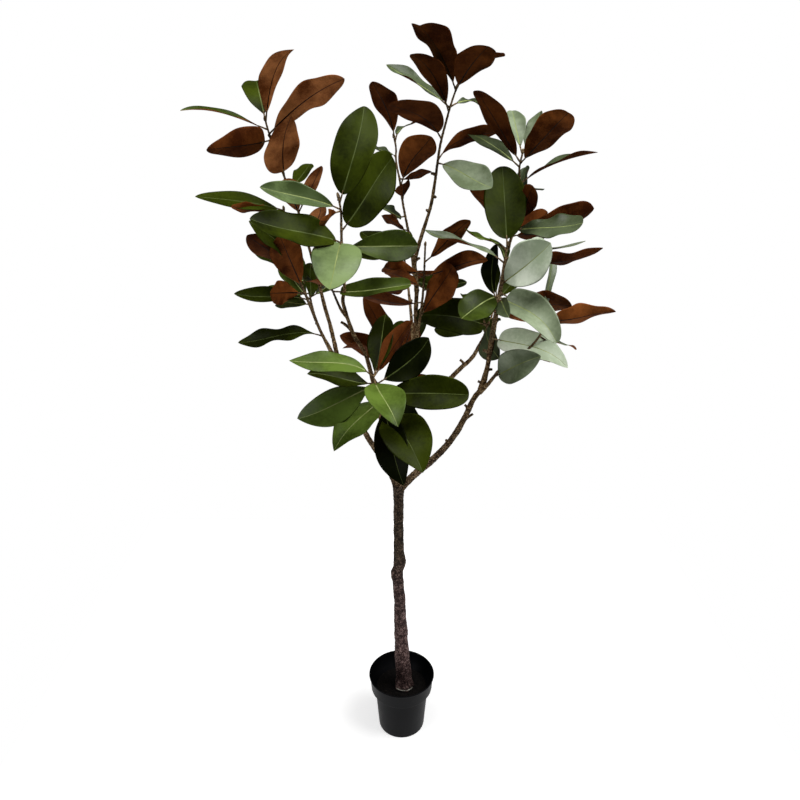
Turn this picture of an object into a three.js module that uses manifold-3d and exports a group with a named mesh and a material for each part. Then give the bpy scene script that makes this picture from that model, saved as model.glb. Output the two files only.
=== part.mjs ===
// Artificial magnolia tree in a round black nursery pot, about two metres tall.
// A rough trunk stands in a poured filling and forks into slender boughs. Each bough ends in
// masses of large stiff leaves that spread from one stem, all round the crown.
// Millimetres, +Z up. The origin is the middle of the pot's flat underside.

import * as THREE from 'three';
import { mergeVertices } from 'three/addons/utils/BufferGeometryUtils.js';
import Module from 'manifold-3d';

const wasm = await Module();
wasm.setup();

// Pot
const POT_HEIGHT = 195;
const POT_RIM_RADIUS = 101;
const POT_BAND_HEIGHT = 50;
const POT_BAND_FOOT_RADIUS = 94.5;
const POT_BODY_TOP_RADIUS = 82.5;
const POT_FOOT_RADIUS = 71.5;
const POT_WALL = 2.5;
const POT_FLOOR = 4;
const POT_EDGE = 3;
const POT_SIDES = 36;

// Filling
const FILL_TOP = 145;
const FILL_DISH = 4;

// Gap between neighbouring pieces
const GAP = 0.35;

// Trunk: a leaning line from the filling to the fork, and its radius at each height
const FORK_HEIGHT = 862;
const TRUNK_LINE = [
  [8, 0, FILL_TOP + GAP],
  [0, 0, 300],
  [-6, 0, 470],
  [-12, 0, 565],
  [-8, 0, 605],
  [-9, 0, 715],
  [-9, 0, FORK_HEIGHT],
];
const TRUNK_RADII = [
  [FILL_TOP, 27],
  [175, 23.5],
  [300, 20.5],
  [470, 16.5],
  [715, 14],
  [820, 13.5],
  [FORK_HEIGHT, 16],
];
const TRUNK_SIDES = 14;
const TRUNK_RINGS = 19;
const ROOT_LOBES = 5;
const ROOT_LOBE_DEPTH = 0.16;
const ROOT_LOBE_FADE = 45;
const KNOTS = [
  { height: 606, heading: 0, size: 6 },
  { height: 566, heading: 180, size: 4 },
  { height: 380, heading: 250, size: 4 },
];
const KNOT_REACH = 18;

// Limbs
const LIMB_SIDES = 7;
const LIMB_RING_SPACING = 52;
const STEM_SIDES = 5;
const STEM_TIP_RADIUS = 2.2;

// Leaves: a short stalk and a blade, with the shares and degrees its shape is drawn between
const STALK_LENGTH = 18;
const STALK_HALF_WIDTH = 1.8;
const LEAF_HALF_THICKNESS = 1.1;
const BLADE_STATIONS = [0, 0.2, 0.5, 0.8, 0.99];
const WIDTH_SHARE = [0.39, 0.47];
const BEND = [10, 60];
const FOLD = [4, 26];
const SWAY = [-0.4, 0.4];
const LEAF_PEAK = 0.57;
const LEAF_POINT = 0.72;

// A leaf that would touch a neighbour is turned aside and up by the first of these that clears it
const TURNS = [
  [0, 0], [7, 0], [-7, 0], [0, 7], [0, -7], [12, 8], [-12, -8], [12, -8], [-12, 8], [18, 0], [-18, 0],
];

// Each limb runs from inside its parent to its furthest stem tip. Its last stretch, as long as
// its reach, is the stem of a mass of leaves, the spray. Leaf rows give the distance of the leaf
// below the stem's tip, then its heading, lift and roll in degrees, and its length. What else a row
// names isn't drawn: its width, the bend, sweep and fold of its blade in degrees, the peak where it
// is widest, as a share of its length, and its point, which is blunter the lower it is.
const LIMBS = [
  {
    name: 'bough_right',
    radii: [10.5, 5],
    line: [
      [-9, 0, 845], [35, -5, 895], [80, -10, 940], [125, -15, 995], [160, -20, 1060], [185, -25, 1125],
      [205, -30, 1160], [215, -40, 1215], [220, -50, 1300], [230, -60, 1400], [240, -60, 1485],
      [245, -60, 1525],
    ],
    spray: 'leaves_right_front',
    reach: 240,
    leaves: [
      [3, 93, 58, -10, 185, { width: 106, bend: 20, peak: 0.45, point: 0.6 }],
      [93, 319, 42, 90, 150, { width: 100, bend: 20, sweep: -15 }],
      [32, 355, 14, 0, 170, { width: 38, bend: 0 }],
      [43, 346, 12, -40, 207, { width: 52, bend: -20, sweep: 25 }],
      [136, 89, 44, -50, 150, { bend: 40 }],
      [52, 96, 20, 30, 120, { bend: 50 }],
      [41, 161, 19, -10, 190, { width: 36, bend: 20, sweep: 15 }],
      [12, 218, 25, -20, 130, { width: 30, bend: 0 }],
      [124, 234, -5, -40, 150, { width: 76, bend: 20, sweep: -15 }],
      [121, 312, -23, 30, 175, { width: 92, bend: 30, sweep: 30, peak: 0.3, point: 0.5 }],
      [46, 38, 12, 30, 140, { bend: 20, sweep: -15 }],
      [229, 340, -16, 30, 180, { width: 92, bend: 40, sweep: 15, peak: 0.3 }],
      [109, 2, -12, -50, 165, { width: 90, bend: -10, sweep: 30 }],
      [125, 274, -6, 50, 110, { bend: 20, sweep: 15 }],
    ],
  },
  {
    name: 'bough_right_rear',
    radii: [6, 3.5],
    line: [
      [202, -29, 1153], [222, -10, 1225], [233, 0, 1305], [242, 5, 1385], [253, 8, 1455], [260, 10, 1515],
      [275, 25, 1560], [280, 30, 1605], [280, 30, 1655], [276, 25, 1690], [280, 20, 1725],
    ],
    spray: 'leaves_right_top',
    reach: 200,
    leaves: [
      [21, 200, 51, 20, 178, { width: 70, bend: 20, sweep: -15, peak: 0.6, point: 0.5 }],
      [2, 98, 43, 0, 120, { bend: 30, sweep: 15 }],
      [2, 60, 42, -20, 120, { bend: 0, sweep: -15 }],
      [24, 301, 37, -25, 165, { width: 78, bend: 20, sweep: 10, peak: 0.6, point: 0.5 }],
      [32, 136, 25, -10, 160, { bend: 30, sweep: 15 }],
      [71, 5, 21, -10, 178, { width: 55, bend: 30 }],
      [168, 279, 43, -60, 130, { width: 52, bend: 30, sweep: -15 }],
      [100, 54, 4, 0, 110, { width: 40, bend: 20 }],
      [131, 75, 38, -40, 130, { bend: 0, point: 0.4 }],
      [181, 46, 12, -80, 130, { bend: 10, sweep: 15 }],
      [181, 319, 11, 40, 165, { width: 70, bend: 10, sweep: -15, peak: 0.66, point: 0.35 }],
      [177, 4, 14, -50, 180, { width: 86, bend: -10, sweep: 30, peak: 0.7, point: 0.4 }],
      [175, 133, 28, 70, 150, { bend: 20 }],
      [196, 29, 2, -60, 110, { width: 46, bend: 10, sweep: 15 }],
    ],
  },
  {
    name: 'bough_right_low',
    radii: [6, 4.2],
    line: [
      [200, -28, 1147], [216, -45, 1172], [228, -60, 1197], [252, -75, 1237], [274, -85, 1257],
      [298, -92, 1277], [320, -92, 1301], [337, -90, 1330], [345, -85, 1363],
    ],
    spray: 'leaves_right_low',
    reach: 215,
    leaves: [
      [210, 315, 33, 80, 140, { width: 84, bend: 40, peak: 0.5 }],
      [108, 48, -23, -20, 130, { bend: -10, sweep: 30 }],
      [50, 35, -24, 0, 130, { width: 42, bend: 0 }],
      [6, 16, 1, -60, 170, { width: 70, bend: 10, sweep: 30, peak: 0.35 }],
      [2, 77, 53, 50, 150, { width: 30, bend: 20, sweep: 30 }],
    ],
  },
  {
    name: 'bough_middle',
    radii: [9, 3.5],
    line: [
      [-9, 0, 845], [9, 15, 930], [25, 30, 1043], [35, 42, 1154], [39, 50, 1270], [36, 55, 1330],
      [38, 60, 1406], [32, 60, 1457], [42, 60, 1507], [57, 60, 1556], [71, 60, 1604], [80, 60, 1662],
      [90, 60, 1739], [105, 60, 1800], [115, 60, 1835], [125, 55, 1865],
    ],
    spray: 'leaves_top',
    reach: 205,
    leaves: [
      [5, 236, 37, 0, 178, { width: 88, bend: 35, sweep: -5, peak: 0.7, point: 0.4, fold: 19, sway: 0 }],
      [54, 232, 38, 10, 165, { width: 64, bend: 60, fold: 13, sway: 0 }],
      [8, 293, 29, -10, 150, { width: 84, bend: 30, fold: 6, sway: 0 }],
      [45, 161, 31, -20, 165, { width: 50, bend: 20, sweep: 15, fold: 21, sway: 0.1 }],
      [7, 35, 28, -10, 150, { fold: 14, sway: 0.1 }],
      [43, 48, 1, 30, 130, { width: 26, bend: 40, sweep: 15, fold: 7, sway: 0.1 }],
      [116, 223, 24, 15, 165, { width: 98, bend: 40, sweep: 15, peak: 0.47, fold: 10, sway: 0.2 }],
      [170, 313, -15, 30, 160, { width: 84, bend: 10, fold: 15, sway: 0.2 }],
      [165, 28, 20, -50, 170, { width: 60, bend: 50, sweep: -15, fold: 8, sway: 0.2 }],
    ],
  },
  {
    name: 'bough_inner',
    radii: [7.5, 5],
    line: [
      [29, 35, 1086], [60, 45, 1104], [92, 55, 1123], [119, 63, 1140], [138, 70, 1155], [165, 80, 1180],
      [179, 85, 1190], [195, 92, 1207], [208, 98, 1231], [221, 103, 1257], [231, 107, 1287],
    ],
    spray: 'leaves_inner',
    reach: 70,
    leaves: [
      [4, 195, 12, -60, 195, { width: 104, bend: 40, sweep: -15, peak: 0.36 }],
      [2, 276, -18, 70, 130, { width: 78, bend: 50 }],
      [2, 123, 12, -45, 130],
      [10, 110, 20, 0, 150],
      [40, 75, 5, 10, 150],
    ],
  },
  {
    name: 'bough_middle_side',
    radii: [4.5, 3.5],
    line: [
      [39, 50, 1275], [46, 36, 1325], [52, 30, 1380], [55, 30, 1435], [57, 30, 1510],
    ],
    spray: 'leaves_middle',
    reach: 186,
    leaves: [
      [40, 334, 43, -50, 140, { width: 50, bend: 30, sweep: 15 }],
      [75, 326, 19, -50, 165, { width: 60, bend: 30, sweep: 15 }],
      [187, 320, 56, -90, 160, { width: 80, bend: 30, sweep: -15 }],
      [111, 35, 1, 70, 125, { width: 24, bend: 50 }],
      [66, 225, 13, 60, 125, { width: 50, bend: 30, sweep: -30 }],
      [142, 182, 10, 50, 158, { width: 60, bend: -20, sweep: -30 }],
      [105, 215, 25, 40, 110, { width: 44 }],
    ],
  },
  {
    name: 'bough_back_top',
    radii: [5, 3.5],
    line: [
      [38, 60, 1390], [28, 90, 1459], [18, 120, 1522], [8, 140, 1570], [0, 150, 1611], [-5, 160, 1650],
      [-15, 165, 1700], [-15, 170, 1730], [-20, 170, 1755],
    ],
    spray: 'leaves_back_top',
    reach: 240,
    leaves: [
      [8, 241, 52, 10, 150, { width: 66, bend: 50 }],
      [12, 62, 22, -15, 110],
      [54, 242, 19, -40, 110, { width: 30, bend: 20, sweep: 15 }],
      [119, 309, 46, -30, 150, { width: 88, bend: 35, sweep: -15 }],
      [153, 276, 37, 25, 60, { width: 46, bend: 10 }],
      [99, 307, 11, -30, 110, { width: 30, bend: 0, sweep: 15 }],
      [194, 240, 15, -60, 110, { width: 36, bend: 10, sweep: 30 }],
      [231, 241, 22, 20, 120, { width: 30, bend: 0, sweep: -15 }],
    ],
  },
  {
    name: 'bough_left',
    radii: [9, 4],
    line: [
      [-9, 0, 845], [-38, -5, 915], [-70, -8, 972], [-99, 0, 1021], [-133, 20, 1105], [-164, 38, 1183],
      [-186, 48, 1233], [-214, 55, 1288], [-237, 60, 1350], [-250, 65, 1385], [-265, 70, 1420],
      [-280, 70, 1460], [-285, 65, 1510], [-285, 60, 1550], [-289, 56, 1592],
    ],
    spray: 'leaves_left',
    reach: 350,
    leaves: [
      [2, 215, 12, -40, 205, { width: 58, bend: 30, sweep: 15 }],
      [4, 232, 10, 40, 145, { width: 36, bend: 10, sweep: -30 }],
      [129, 231, 42, -80, 150],
      [151, 227, 37, 45, 150],
      [208, 242, 60, 50, 155, { width: 88, bend: 10 }],
      [186, 150, 25, -5, 150],
      [216, 246, 12, 90, 140],
      [234, 203, 10, -40, 170, { width: 52, bend: 20, sweep: 15 }],
      [251, 93, 41, 30, 120, { bend: 30, sweep: 15 }],
      [338, 194, 0, -20, 200, { width: 64, bend: 30 }],
    ],
  },
  {
    name: 'bough_left_rear',
    radii: [6, 3.5],
    line: [
      [-162, 37, 1179], [-174, 60, 1229], [-190, 85, 1293], [-203, 95, 1339], [-219, 105, 1409],
      [-240, 110, 1495], [-250, 105, 1540], [-260, 95, 1585], [-275, 80, 1630], [-285, 65, 1670],
      [-300, 50, 1725], [-310, 35, 1770], [-315, 30, 1795],
    ],
    spray: 'leaves_left_top',
    reach: 318,
    leaves: [
      [2, 309, 45, 10, 180, { width: 66, bend: 60 }],
      [2, 107, 33, -10, 150, { width: 76, bend: 60 }],
      [20, 217, 11, -20, 190, { width: 28, bend: 30 }],
      [44, 230, -5, 60, 165, { width: 80, bend: 10, sweep: -15, peak: 0.25, point: 0.7 }],
      [30, 335, 29, -45, 215, { width: 66, bend: 20, sweep: -15 }],
      [137, 290, 49, 20, 165, { width: 94, bend: 30, sweep: -15, peak: 0.3, point: 0.85 }],
      [169, 74, 21, 10, 130, { width: 46, bend: 10, sweep: -15 }],
      [231, 310, 47, 0, 140, { width: 50, bend: 10, sweep: 15 }],
      [245, 262, 40, 20, 140],
      [306, 299, 43, 0, 120, { width: 50, bend: 20, sweep: 30 }],
    ],
  },
  {
    name: 'bough_front',
    radii: [8, 3.5],
    line: [
      [-9, 0, 845], [-24, -14, 905], [-31, -45, 985], [-36, -92, 1083], [-45, -150, 1180],
      [-50, -185, 1215], [-60, -215, 1245], [-65, -240, 1265],
    ],
    spray: 'leaves_front_low',
    reach: 190,
    shape: { peak: 0.5, point: 0.95 },
    leaves: [
      [2, 199, 18, -30, 177, { width: 60, bend: 50 }],
      [42, 188, 11, -30, 142, { width: 62, bend: 0 }],
      [49, 187, -22, -90, 184, { width: 92, bend: 20, peak: 0.55 }],
      [120, 231, -25, -10, 172, { width: 90, bend: 30 }],
      [8, 290, -18, 0, 150, { width: 92, bend: 30, sweep: -15 }],
      [2, 80, 35, -10, 165, { width: 64, bend: 20, sweep: -15 }],
      [45, 41, 26, 70, 160, { width: 84, bend: 40, sweep: -15 }],
      [105, 344, 5, 60, 190, { width: 88, bend: 30, peak: 0.6, point: 0.5 }],
      [183, 296, -21, 10, 195, { width: 124, bend: 50 }],
      [148, 288, -44, 40, 195, { width: 90, bend: 30 }],
      [2, 80, 12, 0, 120, { width: 36, bend: 20 }],
      [2, 47, 39, -90, 150, { width: 60, bend: 20, sweep: 15 }],
      [145, 42, -37, 80, 140, { width: 60, bend: 0 }],
    ],
  },
  {
    name: 'bough_front_left',
    radii: [6.5, 3.5],
    line: [
      [-30, -41, 975], [-48, -68, 1060], [-62, -92, 1150], [-75, -107, 1225], [-89, -112, 1280],
      [-114, -115, 1325], [-131, -118, 1380], [-137, -122, 1411], [-132, -126, 1443], [-135, -130, 1523],
      [-135, -130, 1545], [-135, -125, 1580], [-135, -120, 1610], [-140, -120, 1640],
    ],
    spray: 'leaves_centre',
    reach: 122,
    leaves: [
      [13, 54, 65, 20, 200, { width: 100, bend: 50, sweep: -30, peak: 0.47 }],
      [73, 47, 42, 80, 205, { width: 106, bend: 30, sweep: 15, peak: 0.5, point: 0.45 }],
      [27, 202, 17, -60, 165, { width: 56, bend: 20 }],
      [99, 211, 18, -50, 200, { width: 84, bend: 20, sweep: 15, peak: 0.52, point: 0.6 }],
      [96, 265, -23, -10, 160, { width: 108, bend: 30, peak: 0.42 }],
      [107, 29, -4, 80, 180, { width: 80, bend: 30 }],
      [30, 255, -2, 60, 110, { width: 40, bend: 0, sweep: -15 }],
    ],
  },
  {
    name: 'bough_centre_side',
    radii: [3.2, 3],
    line: [
      [-127, -117, 1366], [-142, -110, 1384], [-152, -112, 1408], [-162, -120, 1438],
    ],
    spray: 'leaves_centre_side',
    reach: 52,
    leaves: [
      [8, 351, 7, 40, 165, { width: 52, bend: 0, sweep: -15, peak: 0.5, point: 0.3 }],
      [6, 250, 20, 0, 120],
    ],
  },
  {
    name: 'bough_back_low',
    radii: [8, 3.5],
    line: [
      [-9, 0, 845], [-8, 24, 905], [0, 90, 980], [10, 170, 1045], [5, 235, 1105], [0, 270, 1150],
    ],
    spray: 'leaves_back_low',
    reach: 120,
    leaves: [
      [5, 163, 56, 90, 190, { width: 72, bend: 0, sweep: -15 }],
      [17, 286, 58, -50, 150, { width: 68, bend: 10 }],
      [25, 40, 52, 30, 130, { width: 50, bend: 30, sweep: 15 }],
      [55, 19, -33, -70, 150, { bend: 10, sweep: 15 }],
      [30, 177, 25, 70, 185, { width: 76, bend: 20, sweep: -15 }],
      [40, 179, 18, 25, 168, { width: 66, bend: 35 }],
      [110, 110, -62, 70, 150, { bend: 40 }],
      [30, 92, 34, 0, 150, { bend: 20 }],
    ],
  },
  {
    name: 'bough_back_middle',
    radii: [6, 3.5],
    line: [
      [33, 40, 1135], [32, 80, 1195], [28, 150, 1270], [20, 225, 1345], [10, 280, 1415], [0, 300, 1470],
    ],
    spray: 'leaves_back_middle',
    reach: 150,
    leaves: [
      [6, 120, -2, -40, 150, { bend: 10, sweep: 30 }],
      [17, 139, 12, -20, 150, { bend: 0, sweep: 15 }],
      [36, 141, -2, -30, 150, { bend: 10, sweep: 15 }],
      [57, 91, 18, -40, 150, { bend: 10, sweep: -30 }],
      [81, 25, -22, -50, 150, { bend: 10, sweep: 15 }],
      [106, 37, -18, 70, 150, { bend: 40, sweep: -15 }],
      [131, 146, -14, 40, 150, { bend: 10, sweep: -15 }],
    ],
  },
  {
    name: 'bough_back_right',
    radii: [5, 3.5],
    line: [
      [138, 70, 1155], [150, 86, 1163], [168, 105, 1171], [200, 140, 1191], [219, 170, 1214],
      [240, 195, 1244], [270, 240, 1330],
    ],
    spray: 'leaves_back_right',
    reach: 120,
    leaves: [
      [5, 94, 41, -60, 150, { bend: 0, sweep: -15 }],
      [13, 39, 37, 10, 160, { bend: 10, sweep: -15 }],
      [24, 22, -16, -80, 150, { bend: 30, sweep: 15 }],
      [42, 125, -11, -50, 150, { bend: 20, sweep: 15 }],
      [65, 165, -15, -60, 150, { bend: 40, sweep: 15 }],
      [80, 129, -14, -70, 150, { bend: 40, sweep: 15 }],
    ],
  },
  {
    name: 'bough_back_left',
    radii: [6, 3.5],
    line: [
      [-128, 17, 1093], [-150, 65, 1135], [-195, 130, 1200], [-240, 190, 1280], [-262, 215, 1370],
    ],
    spray: 'leaves_back_left',
    reach: 120,
    leaves: [
      [5, 119, 31, 0, 150, { bend: 20, sweep: 30 }],
      [10, 66, 16, 10, 150, { bend: 10, sweep: -30 }],
      [22, 151, -4, -30, 150, { bend: 10, sweep: 30 }],
      [33, 60, 14, 30, 150, { bend: 30, sweep: -30 }],
      [42, 126, 27, -10, 150, { bend: 30, sweep: 30 }],
      [53, 131, -7, -30, 150, { bend: 20, sweep: 30 }],
    ],
  },
];

// Finishes
const POT_FINISH = { color: 0x1b1d1e, roughness: 0.5 };
const FILL_FINISH = { color: 0x2c2620, roughness: 0.95 };
const BARK_FINISH = { color: 0x3a2b27, roughness: 0.9 };
const LEAF_FINISH = { color: 0x44592a, roughness: 0.4 };

const tree = new THREE.Group();

// A draw of seeded numbers from 0 to 1.
function draws(seed) {
  let state = seed;
  return () => {
    state = (state * 1664525 + 1013904223) % 4294967296;
    return state / 4294967296;
  };
}

function blend(low, high, share) {
  return low + (high - low) * share;
}

function valueAt(rows, key) {
  let last = rows[0];
  for (const row of rows) {
    if (row[0] >= key) {
      return row[0] === last[0] ? row[1] : blend(last[1], row[1], (key - last[0]) / (row[0] - last[0]));
    }
    last = row;
  }
  return last[1];
}

// The solid inside a closed geometry, with its faces turned outwards.
function solidOf(geometry) {
  geometry.deleteAttribute('normal');
  geometry.deleteAttribute('uv');
  const merged = mergeVertices(geometry, 1e-4);
  const corners = Uint32Array.from(merged.index.array);
  const make = () => new wasm.Manifold(new wasm.Mesh({
    numProp: 3,
    vertProperties: Float32Array.from(merged.attributes.position.array),
    triVerts: corners,
  }));
  const solid = make();
  if (solid.volume() > 0) {
    return solid;
  }
  for (let i = 0; i < corners.length; i += 3) {
    [corners[i], corners[i + 1]] = [corners[i + 1], corners[i]];
  }
  return make();
}

// The largest body of a solid, without loose scraps.
function largest(solid) {
  return solid.decompose().sort((a, b) => b.volume() - a.volume())[0];
}

function addNode(name, solid, finish) {
  const mesh = solid.getMesh();
  const geometry = new THREE.BufferGeometry();
  geometry.setAttribute('position', new THREE.BufferAttribute(mesh.vertProperties, 3));
  geometry.setIndex(new THREE.BufferAttribute(mesh.triVerts, 1));
  geometry.computeVertexNormals();
  const piece = new THREE.Mesh(geometry, new THREE.MeshStandardMaterial({ ...finish, metalness: 0 }));
  piece.name = name;
  tree.add(piece);
}

// A closed cylinder whose every ring is laid by place(ring, x, z), with x and z on a unit circle.
function bend(sides, rings, place) {
  const geometry = new THREE.CylinderGeometry(1, 1, 1, sides, rings - 1);
  const position = geometry.attributes.position;
  for (let i = 0; i < position.count; i += 1) {
    const ring = Math.round((position.getY(i) + 0.5) * (rings - 1));
    const spot = place(ring, position.getX(i), position.getZ(i));
    position.setXYZ(i, spot.x, spot.y, spot.z);
  }
  return solidOf(geometry);
}

function curveThrough(points) {
  const places = points.map((point) => new THREE.Vector3(...point));
  const curve = new THREE.CatmullRomCurve3(places, false, 'catmullrom', 0.5);
  curve.arcLengthDivisions = 400;
  return curve;
}

// A tapering round limb along a stretch of a curve, from one distance to another.
function limbSolid(curve, from, to, radiusAt, sides) {
  const length = curve.getLength();
  const rings = Math.max(3, Math.round((to - from) / LIMB_RING_SPACING) + 1);
  const spots = [];
  const side = new THREE.Vector3(1, 0, 0);
  for (let ring = 0; ring < rings; ring += 1) {
    const distance = blend(from, to, ring / (rings - 1));
    const share = distance / length;
    const along = curve.getTangentAt(share);
    side.addScaledVector(along, -side.dot(along)).normalize();
    spots.push({
      middle: curve.getPointAt(share),
      across: side.clone(),
      up: along.clone().cross(side),
      radius: radiusAt(distance),
    });
  }
  return bend(sides, rings, (ring, x, z) => {
    const { middle, across, up, radius } = spots[ring];
    return middle.clone().addScaledVector(across, x * radius).addScaledVector(up, z * radius);
  });
}

// Pot: a thin moulded wall with a deep band under its rim, open at the top
function potSolid() {
  const bandFoot = POT_HEIGHT - POT_BAND_HEIGHT;
  const outside = [
    [0, 0],
    [POT_FOOT_RADIUS - POT_EDGE, 0],
    [POT_FOOT_RADIUS, POT_EDGE],
    [POT_BODY_TOP_RADIUS, bandFoot - POT_EDGE],
    [POT_BAND_FOOT_RADIUS, bandFoot],
    [POT_RIM_RADIUS - POT_EDGE, POT_HEIGHT - POT_EDGE * 2],
    [POT_RIM_RADIUS, POT_HEIGHT - POT_EDGE],
    [POT_RIM_RADIUS - 1, POT_HEIGHT],
  ];
  const inside = [
    [POT_RIM_RADIUS - POT_EDGE - POT_WALL, POT_HEIGHT],
    [POT_BAND_FOOT_RADIUS - POT_WALL, bandFoot + POT_WALL],
    [POT_BODY_TOP_RADIUS - POT_WALL, bandFoot],
    [POT_FOOT_RADIUS - POT_WALL, POT_FLOOR],
    [0, POT_FLOOR],
  ];
  const profile = [...outside, ...inside].map(([radius, height]) => new THREE.Vector2(radius, height));
  return solidOf(new THREE.LatheGeometry(profile, POT_SIDES).rotateX(Math.PI / 2));
}

// Filling: poured into the pot up to the foot of the band, dished a little round the trunk
function fillSolid() {
  const footRadius = POT_FOOT_RADIUS - POT_WALL - GAP;
  const topRadius = POT_BODY_TOP_RADIUS - POT_WALL - GAP * 2;
  const profile = [
    [0, POT_FLOOR + GAP],
    [footRadius, POT_FLOOR + GAP],
    [topRadius, FILL_TOP - FILL_DISH],
    [topRadius * 0.75, FILL_TOP],
    [0, FILL_TOP],
  ].map(([radius, height]) => new THREE.Vector2(radius, height));
  return solidOf(new THREE.LatheGeometry(profile, POT_SIDES).rotateX(Math.PI / 2));
}

// Trunk: lobed at its foot, with knots where side shoots were cut away
function trunkSolid(extra) {
  const curve = curveThrough(TRUNK_LINE);
  return bend(TRUNK_SIDES, TRUNK_RINGS, (ring, x, z) => {
    const spot = curve.getPointAt(ring / (TRUNK_RINGS - 1));
    const heading = Math.atan2(z, x);
    const flare = Math.exp(-(spot.z - FILL_TOP) / ROOT_LOBE_FADE);
    const lobe = ROOT_LOBE_DEPTH * flare * Math.cos(heading * ROOT_LOBES);
    let radius = valueAt(TRUNK_RADII, spot.z) * (1 + lobe);
    for (const knot of KNOTS) {
      const turn = 0.5 + 0.5 * Math.cos(heading - THREE.MathUtils.degToRad(knot.heading));
      radius += knot.size * turn ** 4 * Math.exp(-(((spot.z - knot.height) / KNOT_REACH) ** 2));
    }
    spot.x += x * (radius + extra);
    spot.y += z * (radius + extra);
    return spot;
  });
}

// What a leaf's row doesn't name is drawn, always in the same order.
function shapeOf(row, ofLimb, seed) {
  const [, , , , length, named] = row;
  const draw = draws(seed);
  return {
    width: length * blend(...WIDTH_SHARE, draw()),
    bend: blend(...BEND, draw()),
    fold: blend(...FOLD, draw()),
    sway: blend(...SWAY, draw()),
    sweep: 0,
    peak: LEAF_PEAK,
    point: LEAF_POINT,
    ...ofLimb,
    ...named,
  };
}

// Leaf: one thin blade on its stalk, bowed along its length and folded along its midrib
function leafSolid(root, [, heading, lift, roll, length], shape) {
  const turn = THREE.MathUtils.degToRad;
  const along = new THREE.Vector3(
    Math.cos(turn(heading)) * Math.cos(turn(lift)),
    Math.sin(turn(heading)) * Math.cos(turn(lift)),
    Math.sin(turn(lift)),
  );
  const level = new THREE.Vector3(-Math.sin(turn(heading)), Math.cos(turn(heading)), 0);
  const across = level.clone().applyAxisAngle(along, turn(roll));
  const up = along.clone().cross(across);
  const { peak, point } = shape;
  const widening = point * peak / (1 - peak);
  const outline = (share) => share ** widening * (1 - share) ** point;
  const total = STALK_LENGTH + length;
  return bend(4, BLADE_STATIONS.length + 1, (ring, x, z) => {
    const blade = ring === 0 ? 0 : BLADE_STATIONS[ring - 1];
    const distance = ring === 0 ? 0 : STALK_LENGTH + length * blade;
    const share = distance / total;
    const bow = total * share * (1 - share);
    const half = Math.max(STALK_HALF_WIDTH, shape.width / 2 * outline(blade) / outline(peak));
    const arch = bow * (turn(shape.bend) / 2 + shape.sway * (1 - 2 * share));
    const raised = Math.abs(x) * (half - STALK_HALF_WIDTH) * Math.sin(turn(shape.fold));
    return root.clone()
      .addScaledVector(along, distance)
      .addScaledVector(across, x * half * Math.cos(turn(shape.fold)) + bow * turn(shape.sweep) / 2)
      .addScaledVector(up, arch + raised + z * LEAF_HALF_THICKNESS);
  });
}

function boxesNear(a, b) {
  return [0, 1, 2].every((axis) => a.min[axis] < b.max[axis] + 1 && b.min[axis] < a.max[axis] + 1);
}

function touches(solid, others) {
  const box = solid.boundingBox();
  return others.some((other) => boxesNear(box, other.box) && solid.minGap(other.solid, 1) < GAP);
}

addNode('pot', potSolid(), POT_FINISH);
addNode('filling', fillSolid(), FILL_FINISH);
addNode('trunk', trunkSolid(0), BARK_FINISH);

// Boughs: each is cut back from the limbs made before it, and ends where its mass of leaves begins
const cutters = [trunkSolid(GAP)];
const obstacles = [];
const stems = [];

function block(owner, solid) {
  obstacles.push({ owner, solid, box: solid.boundingBox() });
}

function cutBack(solid) {
  return largest(cutters.reduce((rest, cutter) => rest.subtract(cutter), solid));
}

block('trunk', trunkSolid(0));
for (const limb of LIMBS) {
  const curve = curveThrough(limb.line);
  const length = curve.getLength();
  const end = length - limb.reach;
  const radii = [[0, limb.radii[0]], [end, limb.radii[1]], [length, STEM_TIP_RADIUS]];
  const radiusAt = (distance) => valueAt(radii, distance);
  const bough = cutBack(limbSolid(curve, 0, end - GAP, radiusAt, LIMB_SIDES));
  const stem = cutBack(limbSolid(curve, end, length, radiusAt, STEM_SIDES));
  const clearance = (distance) => radiusAt(distance) + GAP;
  cutters.push(limbSolid(curve, 0, end - GAP, clearance, LIMB_SIDES));
  cutters.push(limbSolid(curve, end, length, clearance, STEM_SIDES));
  addNode(limb.name, bough, BARK_FINISH);
  block(limb.name, bough);
  block(limb.spray, stem);
  stems.push({ limb, curve, length, stem });
}

// Masses of leaves: a leaf that touches a neighbour is turned a little, and left out if it still does
stems.forEach(({ limb, curve, length, stem }, number) => {
  const others = obstacles.filter((other) => other.owner !== limb.spray);
  let mass = stem;
  limb.leaves.forEach((row, index) => {
    const [below, heading, lift, ...rest] = row;
    const root = curve.getPointAt(1 - below / length);
    const shape = shapeOf(row, limb.shape, number * 100 + index);
    for (const [aside, upward] of TURNS) {
      const leaf = leafSolid(root, [below, heading + aside, lift + upward, ...rest], shape);
      if (!touches(leaf, others)) {
        mass = mass.add(leaf);
        block(limb.spray, leaf);
        break;
      }
    }
  });
  addNode(limb.spray, largest(mass), LEAF_FINISH);
});

export default tree;
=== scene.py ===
# Artificial magnolia tree, about two metres tall, in a black nursery pot.
# The sections follow the tree as it is put together: pot, filling, trunk and boughs, twigs, leaves.

import math

import bpy
import numpy as np
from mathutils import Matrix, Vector, noise


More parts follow.
